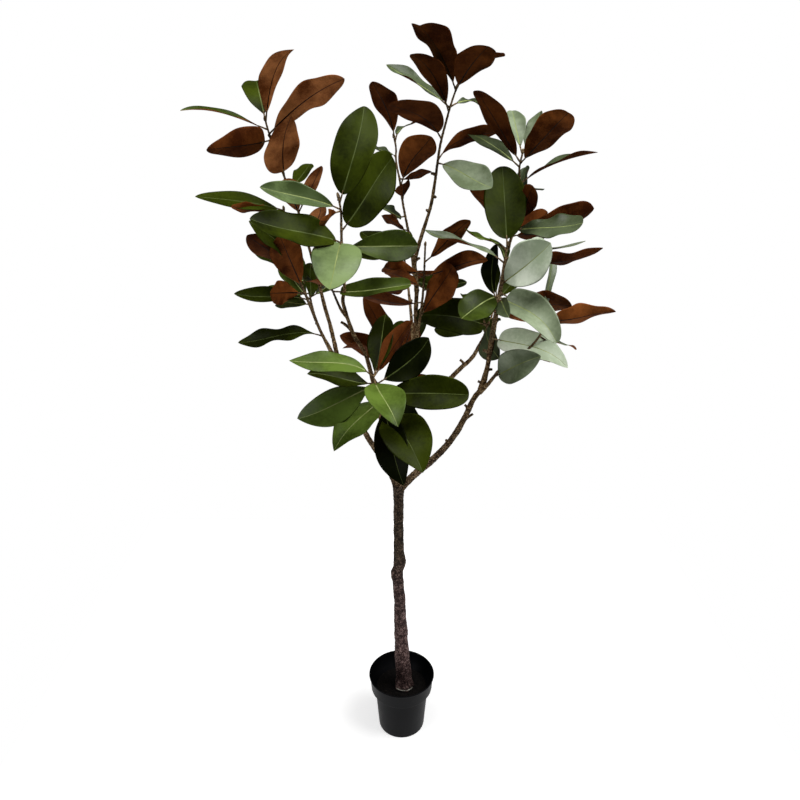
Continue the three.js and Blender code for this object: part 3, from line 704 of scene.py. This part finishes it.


# A face or back that a leaf takes of its own is mostly painted light: paler faces and backs are painted sheen
# and light, darker ones painted shade.
SPRAYS = dict(
    leaves_right_front=[
        leaf(3, 93, 58, -10, 185, width=106, bend=20, peak=0.45, point=0.6, face="deep"),
        leaf(93, 319, 42, 90, 150, width=100, bend=20, sweep=-15, face="pale"),
        leaf(32, 355, 14, 0, 170, width=38, bend=0, face="frost"),
        leaf(43, 346, 12, -40, 207, width=52, bend=-20, sweep=25),
        leaf(136, 89, 44, -50, 150, bend=40, face="night"),
        leaf(52, 96, 20, 30, 120, bend=50),
        leaf(41, 161, 19, -10, 190, width=36, bend=20, sweep=15, face="frost"),
        leaf(12, 218, 25, -20, 130, width=30, bend=0),
        leaf(124, 234, -5, -40, 150, width=76, bend=20, sweep=-15, face="mid"),
        leaf(121, 312, -23, 30, 175, width=92, bend=30, sweep=30, peak=0.3, point=0.5, face="frost"),
        leaf(46, 38, 12, 30, 140, bend=20, sweep=-15, face="pale"),
        leaf(229, 340, -16, 30, 180, width=92, bend=40, sweep=15, peak=0.3, face="pale"),
        leaf(109, 2, -12, -50, 165, width=90, bend=-10, sweep=30, back="brown"),
        leaf(125, 274, -6, 50, 110, bend=20, sweep=15, face="grey"),
    ],
    leaves_right_top=[
        leaf(21, 200, 51, 20, 178, width=70, bend=20, sweep=-15, peak=0.6, point=0.5),
        leaf(2, 98, 43, 0, 120, bend=30, sweep=15, face="frost"),
        leaf(2, 60, 42, -20, 120, bend=0, sweep=-15, face="frost"),
        leaf(24, 301, 37, -25, 165, width=78, bend=20, sweep=10, peak=0.6, point=0.5, back="brown"),
        leaf(32, 136, 25, -10, 160, bend=30, sweep=15),
        leaf(71, 5, 21, -10, 178, width=55, bend=30),
        leaf(168, 279, 43, -60, 130, width=52, bend=30, sweep=-15),
        leaf(100, 54, 4, 0, 110, width=40, bend=20),
        leaf(131, 75, 38, -40, 130, bend=0, point=0.4),
        leaf(181, 46, 12, -80, 130, bend=10, sweep=15),
        leaf(181, 319, 11, 40, 165, width=70, bend=10, sweep=-15, peak=0.66, point=0.35),
        leaf(177, 4, 14, -50, 180, width=86, bend=-10, sweep=30, peak=0.7, point=0.4),
        leaf(175, 133, 28, 70, 150, bend=20),
        leaf(196, 29, 2, -60, 110, width=46, bend=10, sweep=15),
    ],
    leaves_right_low=[
        leaf(210, 315, 33, 80, 140, width=84, bend=40, peak=0.5, face="frost"),
        leaf(108, 48, -23, -20, 130, bend=-10, sweep=30),
        leaf(50, 35, -24, 0, 130, width=42, bend=0, face="frost"),
        leaf(6, 16, 1, -60, 170, width=70, bend=10, sweep=30, peak=0.35),
        leaf(2, 77, 53, 50, 150, width=30, bend=20, sweep=30, face="frost"),
    ],
    leaves_inner=[
        leaf(4, 195, 12, -60, 195, width=104, bend=40, sweep=-15, peak=0.36, face="deep"),
        leaf(2, 276, -18, 70, 130, width=78, bend=50, face="grey"),
        leaf(2, 123, 12, -45, 130),
        leaf(10, 110, 20, 0, 150),
        leaf(40, 75, 5, 10, 150),
    ],
    leaves_top=[
        leaf(5, 236, 37, 0, 178, width=88, bend=35, sweep=-5, peak=0.7, point=0.4, fold=19, sway=0),
        leaf(54, 232, 38, 10, 165, width=64, bend=60, fold=13, sway=0),
        leaf(8, 293, 29, -10, 150, width=84, bend=30, fold=6, sway=0),
        leaf(45, 161, 31, -20, 165, width=50, bend=20, sweep=15, fold=21, sway=0.1),
        leaf(7, 35, 28, -10, 150, fold=14, sway=0.1),
        leaf(43, 48, 1, 30, 130, width=26, bend=40, sweep=15, fold=7, sway=0.1),
        leaf(116, 223, 24, 15, 165, width=98, bend=40, sweep=15, peak=0.47, fold=10, sway=0.2),
        leaf(170, 313, -15, 30, 160, width=84, bend=10, fold=15, sway=0.2, face="frost"),
        leaf(165, 28, 20, -50, 170, width=60, bend=50, sweep=-15, fold=8, sway=0.2),
    ],
    leaves_middle=[
        leaf(40, 334, 43, -50, 140, width=50, bend=30, sweep=15),
        leaf(75, 326, 19, -50, 165, width=60, bend=30, sweep=15),
        leaf(187, 320, 56, -90, 160, width=80, bend=30, sweep=-15),
        leaf(111, 35, 1, 70, 125, width=24, bend=50),
        leaf(66, 225, 13, 60, 125, width=50, bend=30, sweep=-30),
        leaf(142, 182, 10, 50, 158, width=60, bend=-20, sweep=-30, back="dark"),
        leaf(105, 215, 25, 40, 110, width=44),
    ],
    leaves_back_top=[
        leaf(8, 241, 52, 10, 150, width=66, bend=50),
        leaf(12, 62, 22, -15, 110),
        leaf(54, 242, 19, -40, 110, width=30, bend=20, sweep=15),
        leaf(119, 309, 46, -30, 150, width=88, bend=35, sweep=-15, back="brown"),
        leaf(153, 276, 37, 25, 60, width=46, bend=10),
        leaf(99, 307, 11, -30, 110, width=30, bend=0, sweep=15),
        leaf(194, 240, 15, -60, 110, width=36, bend=10, sweep=30),
        leaf(231, 241, 22, 20, 120, width=30, bend=0, sweep=-15),
    ],
    leaves_left=[
        leaf(2, 215, 12, -40, 205, width=58, bend=30, sweep=15),
        leaf(4, 232, 10, 40, 145, width=36, bend=10, sweep=-30),
        leaf(129, 231, 42, -80, 150),
        leaf(151, 227, 37, 45, 150, back="dark"),
        leaf(208, 242, 60, 50, 155, width=88, bend=10),
        leaf(186, 150, 25, -5, 150),
        leaf(216, 246, 12, 90, 140),
        leaf(234, 203, 10, -40, 170, width=52, bend=20, sweep=15),
        leaf(251, 93, 41, 30, 120, bend=30, sweep=15),
        leaf(338, 194, 0, -20, 200, width=64, bend=30),
    ],
    leaves_left_top=[
        leaf(2, 309, 45, 10, 180, width=66, bend=60),
        leaf(2, 107, 33, -10, 150, width=76, bend=60, face="deep"),
        leaf(20, 217, 11, -20, 190, width=28, bend=30),
        leaf(44, 230, -5, 60, 165, width=80, bend=10, sweep=-15, peak=0.25, point=0.7, back="dark"),
        leaf(30, 335, 29, -45, 215, width=66, bend=20, sweep=-15),
        leaf(137, 290, 49, 20, 165, width=94, bend=30, sweep=-15, peak=0.3, point=0.85),
        leaf(169, 74, 21, 10, 130, width=46, bend=10, sweep=-15, face="deep"),
        leaf(231, 310, 47, 0, 140, width=50, bend=10, sweep=15),
        leaf(245, 262, 40, 20, 140),
        leaf(306, 299, 43, 0, 120, width=50, bend=20, sweep=30),
    ],
    leaves_front_low=[
        leaf(2, 199, 18, -30, 177, width=60, bend=50, face="light"),
        leaf(42, 188, 11, -30, 142, width=62, bend=0, face="deep"),
        leaf(49, 187, -22, -90, 184, width=92, bend=20, peak=0.55, face="light"),
        leaf(120, 231, -25, -10, 172, width=90, bend=30, face="light"),
        leaf(8, 290, -18, 0, 150, width=92, bend=30, sweep=-15, face="light"),
        leaf(2, 80, 35, -10, 165, width=64, bend=20, sweep=-15, face="deep"),
        leaf(45, 41, 26, 70, 160, width=84, bend=40, sweep=-15, face="night"),
        leaf(105, 344, 5, 60, 190, width=88, bend=30, peak=0.6, point=0.5, face="deep"),
        leaf(183, 296, -21, 10, 195, width=124, bend=50, face="deep"),
        leaf(148, 288, -44, 40, 195, width=90, bend=30, face="night"),
        leaf(2, 80, 12, 0, 120, width=36, bend=20),
        leaf(2, 47, 39, -90, 150, width=60, bend=20, sweep=15, back="dark"),
        leaf(145, 42, -37, 80, 140, width=60, bend=0, face="night"),
    ],
    leaves_centre=[
        leaf(13, 54, 65, 20, 200, width=100, bend=50, sweep=-30, peak=0.47, face="deep"),
        leaf(73, 47, 42, 80, 205, width=106, bend=30, sweep=15, peak=0.5, point=0.45, face="deep"),
        leaf(27, 202, 17, -60, 165, width=56, bend=20, face="sage"),
        leaf(99, 211, 18, -50, 200, width=84, bend=20, sweep=15, peak=0.52, point=0.6, face="deep"),
        leaf(96, 265, -23, -10, 160, width=108, bend=30, peak=0.42, face="sage"),
        leaf(107, 29, -4, 80, 180, width=80, bend=30),
        leaf(30, 255, -2, 60, 110, width=40, bend=0, sweep=-15),
    ],
    leaves_centre_side=[
        leaf(8, 351, 7, 40, 165, width=52, bend=0, sweep=-15, peak=0.5, point=0.3),
        leaf(6, 250, 20, 0, 120),
    ],
    leaves_back_low=[
        leaf(5, 163, 56, 90, 190, width=72, bend=0, sweep=-15),
        leaf(17, 286, 58, -50, 150, width=68, bend=10),
        leaf(25, 40, 52, 30, 130, width=50, bend=30, sweep=15),
        leaf(55, 19, -33, -70, 150, bend=10, sweep=15),
        leaf(30, 177, 25, 70, 185, width=76, bend=20, sweep=-15),
        leaf(40, 179, 18, 25, 168, width=66, bend=35),
        leaf(110, 110, -62, 70, 150, bend=40),
        leaf(30, 92, 34, 0, 150, bend=20),
    ],
    leaves_back_middle=[
        leaf(6, 120, -2, -40, 150, bend=10, sweep=30),
        leaf(17, 139, 12, -20, 150, bend=0, sweep=15),
        leaf(36, 141, -2, -30, 150, bend=10, sweep=15),
        leaf(57, 91, 18, -40, 150, bend=10, sweep=-30),
        leaf(81, 25, -22, -50, 150, bend=10, sweep=15),
        leaf(106, 37, -18, 70, 150, bend=40, sweep=-15),
        leaf(131, 146, -14, 40, 150, bend=10, sweep=-15),
    ],
    leaves_back_right=[
        leaf(5, 94, 41, -60, 150, bend=0, sweep=-15),
        leaf(13, 39, 37, 10, 160, bend=10, sweep=-15),
        leaf(24, 22, -16, -80, 150, bend=30, sweep=15),
        leaf(42, 125, -11, -50, 150, bend=20, sweep=15),
        leaf(65, 165, -15, -60, 150, bend=40, sweep=15),
        leaf(80, 129, -14, -70, 150, bend=40, sweep=15),
    ],
    leaves_back_left=[
        leaf(5, 119, 31, 0, 150, bend=20, sweep=30),
        leaf(10, 66, 16, 10, 150, bend=10, sweep=-30),
        leaf(22, 151, -4, -30, 150, bend=10, sweep=30),
        leaf(33, 60, 14, 30, 150, bend=30, sweep=-30),
        leaf(42, 126, 27, -10, 150, bend=30, sweep=30),
        leaf(53, 131, -7, -30, 150, bend=20, sweep=30),
    ],
)


def unit(vectors):
    return vectors / np.linalg.norm(vectors, axis=-1, keepdims=True)


def leaf_axes(heading, lift, roll):
    """The directions along, across and up from a leaf's face."""
    heading, lift, roll = np.radians([heading, lift, roll])
    along = np.array([math.cos(heading) * math.cos(lift), math.sin(heading) * math.cos(lift), math.sin(lift)])
    level = np.array([-math.sin(heading), math.cos(heading), 0])
    across = level * math.cos(roll) + np.cross(along, level) * math.sin(roll)
    return along, across, np.cross(along, across)


def spine(leaf, distances):
    """Points along a leaf's stalk and midrib, with the directions along, across and up at each."""
    along, across, up = leaf_axes(leaf["heading"], leaf["lift"], leaf["roll"])
    total = STALK_LENGTH + leaf["length"]
    share = distances / total
    bow = total * share * (1 - share)
    rise = bow * (math.radians(leaf["bend"]) / 2 + leaf["sway"] * (1 - 2 * share))
    aside = bow * math.radians(leaf["sweep"]) / 2
    spots = leaf["root"] + np.outer(distances, along) + np.outer(rise, up) + np.outer(aside, across)
    tangents = unit(np.gradient(spots, axis=0))
    sides = unit(across - tangents * (tangents @ across)[:, None])
    return spots, tangents, sides, np.cross(tangents, sides)


def twig_relief(skin, radius, out):
    spot = Vector(skin)
    return 0.22 * radius * (noise.noise(spot / 4.0) + 0.8 * noise.noise(spot / 2.0))


def stalk(leaf):
    """The wire from the stem into the blade."""
    spots, tangents = spine(leaf, np.linspace(0, STALK_LENGTH + 8, 9))[:2]
    return tube(spots, tangents, np.linspace(*STALK_RADII, len(spots)), TWIG_SIDES, twig_relief)


def stub(root, tip, bow):
    """A snipped shoot from root to tip, bowed to one side."""
    shares = np.linspace(0, 1, 7)
    spots = root + np.outer(shares, tip - root) + np.outer(np.sin(shares * math.pi), bow)
    return tube(spots, unit(np.gradient(spots, axis=0)), np.linspace(*STUB_RADII, 7), TWIG_SIDES, twig_relief)


def bud(root, along, radius):
    """A pointed bud at the end of a stem."""
    shares = np.linspace(0, 1, 8)
    radii = radius * np.sqrt(np.maximum(0, 1 - (shares * 1.02 - 0.25) ** 2 / 0.6)) + 0.2
    spots = root + np.outer(shares * radius * 3.4, along)
    return tube(spots, np.tile(along, (8, 1)), radii, TWIG_SIDES, twig_relief)


twig_bark = Finish("twig_bark", Roughness=0.75, Specular_IOR_Level=0.15)
dots = twig_bark.noise(330, 3, 0.7)
stain = twig_bark.noise(22, 3)
twig_color = twig_bark.colors(
    stain * 0.35 + dots * 0.65,
    (0.40, (0.020, 0.010, 0.004)), (0.51, (0.125, 0.075, 0.032)), (0.62, (0.42, 0.30, 0.17)),
)
twig_material = twig_bark.wear(Base_Color=twig_color, Normal=twig_bark.bump(dots, 1.0, 0.002))

twigs = Meshes()
for number, limb in enumerate(LIMBS):
    path = limb["path"]
    bough_end = path.length - limb["reach"]
    twigs.add(*limb_tube(limb, path, bough_end, path.length, TWIG_SIDES, twig_relief), 0)
    twigs.add(*bud(path.at(path.length)[0], path.along(path.length)[0], BUD_RADIUS), 0)
    for index, each in enumerate(SPRAYS[limb["spray"]]):
        draw = draws(number * LEAF_SEEDS + index)
        peak, point = limb.get("blade", (LEAF_PEAK, LEAF_POINT))
        drawn = dict(
            width=each["length"] * blend(*WIDTH_SHARE, next(draw)),
            bend=blend(*BEND, next(draw)), fold=blend(*FOLD, next(draw)), sweep=0,
            sway=blend(*SWAY, next(draw)), root=path.at(path.length - each["below"])[0], draw=draw,
            peak=peak, point=point,
        )
        each.update({key: value for key, value in drawn.items() if key not in each})
        twigs.add(*stalk(each), 0)
    draw = draws(STUB_SEED + number)
    drawn = [
        (spot + STUB_SCATTER * next(draw), 360 * next(draw), blend(*STUB_LIFT, next(draw)),
         blend(*STUB_LENGTH, next(draw)))
        for spot in np.arange(60, path.length - 30, STUB_SPACING)
    ]
    for distance, heading, lift, length in STUBS.get(limb["name"], drawn):
        along, across, up = leaf_axes(heading, lift, 0)
        root = path.at(distance)[0]
        twigs.add(*stub(root, root + along * length, up * STUB_BOW), 0)
twig_piece = twigs.piece("twigs", [twig_material])
finish_piece(twig_piece, "bark")


# Leaves
# Coated cloth blades on wire: a glossy green face with a thin pale midrib, and a matte felted
# underside in brown. Each is pressed with its veins, then bent, folded and waved by hand.

# The faces and undersides come in lit and shaded copies of their colours: painted sheen, painted light and
# painted shade.
LEAF_HALF_THICKNESS = 0.35
BLADE_FOOT = 1.8
BLADE_TIP = 0.35
RIB_HALF_WIDTH = 1.8
BLADE_STATIONS = 46
HALF_COLUMNS = (0, 0.16, 0.34, 0.54, 0.74, 0.91, 1.0)
VEIN_PAIRS = 9
VEIN_SLANT = 0.16
VEIN_DEPTH = 0.35
MIDRIB_DEPTH = 0.9
MIDRIB_SPREAD = 1.6
WAVE_DEPTH = 0.03
WAVE_COUNT = (1.2, 2.4)
WAVE_SHARE = (0.3, 1.4)
TWIST = 18


def blade_outline(leaf, b):
    """How the blade widens to its peak and narrows to its tip, over its length from 0 to 1."""
    rise = leaf["point"] * leaf["peak"] / (1 - leaf["peak"])
    return b ** rise * (1 - b) ** leaf["point"]


def blade_mesh(leaf, felt_slot, felt_rib_slot, rib_slot, face_slot):
    """One closed blade: its vertices and faces, with the slot each face takes of those given."""
    draw = leaf["draw"]
    wave_phase, wave_count = WHOLE_TURN * next(draw), blend(*WAVE_COUNT, next(draw))
    wave = WAVE_DEPTH * leaf["length"] * blend(*WAVE_SHARE, next(draw))
    twist = math.radians(TWIST) * (2 * next(draw) - 1)

    b = (1 - np.cos(np.linspace(0, math.pi, BLADE_STATIONS)))[:, None] / 2
    outline = blade_outline(leaf, b)
    half = np.maximum(leaf["width"] / 2 * outline / outline.max(), blend(BLADE_FOOT, BLADE_TIP, b))
    rib = np.minimum(RIB_HALF_WIDTH * (1 - 0.75 * b), 0.45 * half)
    columns = rib + (half - rib) * np.array(HALF_COLUMNS)
    offset = np.hstack([-columns[:, ::-1], 0 * b, columns])
    x = offset / half

    vein = np.cos(WHOLE_TURN * VEIN_PAIRS * (b - np.abs(x) * VEIN_SLANT))
    pressed = VEIN_DEPTH * np.maximum(0, vein) ** 4 * np.sin(math.pi * np.abs(x))
    pressed = pressed + MIDRIB_DEPTH * np.exp(-((offset / MIDRIB_SPREAD) ** 2)) * (1 - b)
    ripple = np.sin(WHOLE_TURN * b * wave_count + wave_phase + np.sign(x))
    waved = wave * x ** 2 * ripple * np.sin(math.pi * b)
    fold = math.radians(leaf["fold"])
    run = offset * math.cos(fold)
    rise = np.abs(offset) * np.sqrt(np.abs(x)) * math.sin(fold) + waved - pressed
    turned = twist * (b - 0.35)
    spots, tangents, sides, ups = spine(leaf, STALK_LENGTH + leaf["length"] * b[:, 0])
    sheet = (
        spots[:, None]
        + (run * np.cos(turned) - rise * np.sin(turned))[..., None] * sides[:, None]
        + (run * np.sin(turned) + rise * np.cos(turned))[..., None] * ups[:, None]
    )
    normals = unit(np.cross(np.gradient(sheet, axis=0), np.gradient(sheet, axis=1)))
    thick = LEAF_HALF_THICKNESS * (1 - x ** 4)[..., None] * normals
    rows, cells = x.shape
    upper = (sheet + thick).reshape(-1, 3)
    lower = (sheet - thick)[1:-1, 1:-1].reshape(-1, 3)
    under = np.arange(rows * cells).reshape(rows, cells)
    under[1:-1, 1:-1] = rows * cells + np.arange((rows - 2) * (cells - 2)).reshape(rows - 2, cells - 2)
    faces, slots = [], []
    for r in range(rows - 1):
        for c in range(cells - 1):
            middle = c in (cells // 2 - 1, cells // 2)
            corner = r * cells + c
            faces.append([corner, corner + cells, corner + cells + 1, corner + 1])
            slots.append(rib_slot if middle else face_slot)
            faces.append([under[r, c], under[r, c + 1], under[r + 1, c + 1], under[r + 1, c]])
            slots.append(felt_rib_slot if middle else felt_slot)
    return np.vstack([upper, lower]), faces, slots


def leaf_face(name, gloss, sheen, shade, light):
    """The coated upper face of a leaf."""
    coat = Finish("leaf_face_" + name, Specular_IOR_Level=sheen, Coat_Roughness=0.30)
    cloud = coat.noise(9, 3)
    fleck = coat.noise(130, 4, 0.6)
    return coat.wear(
        Base_Color=coat.colors(cloud * 0.8 + fleck * 0.2, (0.40, shade), (0.62, light)),
        Roughness=gloss + 0.14 * fleck,
        Coat_Weight=(sheen * cloud).clamp(),
        Normal=coat.bump(fleck, 0.12, 0.001),
    )


def leaf_underside(name, shade, light):
    """The felted underside of a leaf."""
    felt = Finish("leaf_underside_" + name, Specular_IOR_Level=0.04)
    cloud = felt.noise(14, 4, 0.6)
    nap = felt.noise(420, 3, 0.7)
    return felt.wear(
        Base_Color=felt.colors(cloud * 0.75 + nap * 0.25, (0.40, shade), (0.62, light)),
        Roughness=0.55 + 0.25 * nap,
        Normal=felt.bump(nap, 0.3, 0.0006),
    )


def midrib(name, shade, light):
    """The raised wire under the cloth."""
    rib = Finish("leaf_midrib_" + name, Specular_IOR_Level=0.1)
    cloud = rib.noise(30, 3)
    return rib.wear(Base_Color=rib.colors(cloud, (0.3, shade), (0.7, light)), Roughness=0.4 + 0.2 * cloud)


PALE_RIB = midrib("pale", (0.16, 0.20, 0.05), (0.38, 0.44, 0.17))
# This midrib is painted shade: dimmed for the faces that stand in shade.
DIM_RIB = midrib("dim", (0.040, 0.055, 0.012), (0.130, 0.165, 0.045))
DARK_RIB = midrib("dark", (0.007, 0.002, 0.001), (0.020, 0.007, 0.002))
FACES = dict(
    # This face is painted shade: near-black, for leaves that lie in shadow.
    night=(DIM_RIB, leaf_face("night", 0.40, 0.03, (0.0025, 0.004, 0.0004), (0.010, 0.014, 0.001))),
    # The deep and light greens are partly the leaves' own tone and partly painted shade and light: darker for
    # leaves turned from the lamps, lighter for leaves that face up into them.
    deep=(DIM_RIB, leaf_face("deep", 0.34, 0.035, (0.011, 0.015, 0.0008), (0.040, 0.056, 0.003))),
    mid=(PALE_RIB, leaf_face("mid", 0.30, 0.09, (0.022, 0.033, 0.003), (0.070, 0.106, 0.012))),
    light=(PALE_RIB, leaf_face("light", 0.32, 0.11, (0.040, 0.066, 0.006), (0.120, 0.190, 0.028))),
    # The next four faces are painted sheen: grey-greens up to near-white greens that stand in for the gloss
    # of the lamps on leaves turned towards them.
    sage=(PALE_RIB, leaf_face("sage", 0.30, 0.24, (0.070, 0.105, 0.032), (0.190, 0.265, 0.095))),
    grey=(PALE_RIB, leaf_face("grey", 0.30, 0.24, (0.030, 0.042, 0.015), (0.090, 0.118, 0.055))),
    frost=(PALE_RIB, leaf_face("frost", 0.30, 0.24, (0.120, 0.155, 0.080), (0.290, 0.350, 0.220))),
    pale=(PALE_RIB, leaf_face("pale", 0.26, 0.24, (0.420, 0.510, 0.340), (0.800, 0.870, 0.710))),
)
# One felt in lit and shaded copies: the orange underside is painted light, for undersides turned to the
# light, the dark one is painted shade, and the brown one between is the felt's own colour.
UNDERSIDES = {
    "orange": leaf_underside("orange", (0.140, 0.036, 0.007), (0.600, 0.225, 0.075)),
    "brown": leaf_underside("brown", (0.060, 0.013, 0.0015), (0.285, 0.086, 0.018)),
    "dark": leaf_underside("dark", (0.044, 0.009, 0.001), (0.160, 0.045, 0.009)),
}
# Each spray's face and underside; the orange and dark undersides are painted light and painted shade.
SHADES = dict(
    leaves_right_front=("mid", "dark"),
    leaves_right_top=("grey", "dark"),
    leaves_right_low=("grey", "brown"),
    leaves_inner=("deep", "brown"),
    leaves_top=("grey", "dark"),
    leaves_middle=("mid", "brown"),
    leaves_back_top=("grey", "dark"),
    leaves_left=("deep", "brown"),
    leaves_left_top=("mid", "orange"),
    leaves_front_low=("mid", "brown"),
    leaves_centre=("mid", "brown"),
    leaves_centre_side=("mid", "brown"),
    leaves_back_low=("deep", "dark"),
    leaves_back_middle=("deep", "dark"),
    leaves_back_right=("deep", "brown"),
    leaves_back_left=("mid", "orange"),
)

for limb in LIMBS:
    spray = limb["spray"]
    face, underside = SHADES[spray]
    mass = Meshes()
    worn = []
    for each in SPRAYS[spray]:
        back = UNDERSIDES[each.get("back", underside)]
        coats = [back, DARK_RIB, *FACES[each.get("face", face)]]
        worn += [coat for coat in coats if coat not in worn]
        mass.add(*blade_mesh(each, *[worn.index(coat) for coat in coats]))
    finish_piece(mass.piece(spray + "_blades", worn), "leaves", spray)


# Studio
# A pale floor that glows with painted light, dimmer near the pot as a painted shade round it and
# brightening away from it into a white surround. Two large soft lights hang over the tree and a small
# one stands low at its left. The camera looks down on the tree.

FLOOR_REACH = 1.2
CAMERA_PLACE = (-0.005, -1.70, 1.80)
CAMERA_TILT = 22
CAMERA_FOCAL_PIXELS = 697
FRAME_PIXELS = 800
SENSOR = 36

# The floor's glow is painted light, weakest by the pot as a painted shade round its foot.
floor_finish = Finish("studio_floor", Roughness=0.9, Emission_Strength=1.0)
from_pot = floor_finish.node(
    "ShaderNodeVectorMath", {"operation": "LENGTH"}, {0: floor_finish.place}, "Value",
)
floor_material = floor_finish.wear(
    Base_Color=floor_finish.colors(floor_finish.noise(3, 2), (0.3, (0.80,) * 3), (0.7, (0.82,) * 3)),
    Emission_Color=floor_finish.colors(from_pot * 0.4, (0.04, (0.60,) * 3), (0.40, (1.0,) * 3)),
)
floor = add_piece(
    "studio_floor",
    [(x * FLOOR_REACH, y * FLOOR_REACH, 0) for x, y in ((-1, -1), (1, -1), (1, 1), (-1, 1))],
    [[0, 1, 2, 3]],
    [floor_material],
)


def soft_light(name, place, target, size, power):
    lamp = bpy.data.lights.new(name, "AREA")
    lamp.shape = "SQUARE"
    lamp.size = size
    lamp.energy = power
    holder = bpy.data.objects.new(name, lamp)
    holder.location = place
    holder.rotation_euler = (Vector(target) - Vector(place)).to_track_quat("-Z", "Y").to_euler()
    bpy.context.scene.collection.objects.link(holder)


soft_light("key_light", (1.5, -0.5, 3.2), (0, 0, 1.3), 1.6, 62)
soft_light("top_light", (-0.6, -0.5, 3.6), (0, 0, 1.3), 1.4, 38)
soft_light("side_light", (-1.5, -1.1, 1.5), (-0.1, 0, 1.4), 0.7, 6)

world = bpy.data.worlds.new("studio_surround")
bpy.context.scene.world = world
world.use_nodes = True
surround = Nodes(world.node_tree)
dim_light = world.node_tree.nodes["Background"]
dim_light.inputs["Color"].default_value = (1, 1, 1, 1)
dim_light.inputs["Strength"].default_value = 0.05
backdrop = surround.node("ShaderNodeBackground", inputs={"Color": (1, 1, 1, 1), "Strength": 1.0})
seen = surround.node("ShaderNodeLightPath", output="Is Camera Ray")
dim = Wire(surround, dim_light.outputs[0])
mixed = surround.node("ShaderNodeMixShader", inputs={0: seen, 1: dim, 2: backdrop})
surround.feed(world.node_tree.nodes["World Output"].inputs["Surface"], mixed)

lens = bpy.data.cameras.new("camera")
lens.sensor_width = SENSOR
lens.lens = CAMERA_FOCAL_PIXELS / FRAME_PIXELS * SENSOR
camera = bpy.data.objects.new("camera", lens)
camera.location = CAMERA_PLACE
camera.rotation_euler = (math.radians(90 - CAMERA_TILT), 0, 0)
bpy.context.scene.collection.objects.link(camera)
bpy.context.scene.camera = camera
bpy.context.scene.view_settings.view_transform = "Standard"

bpy.context.view_layer.update()
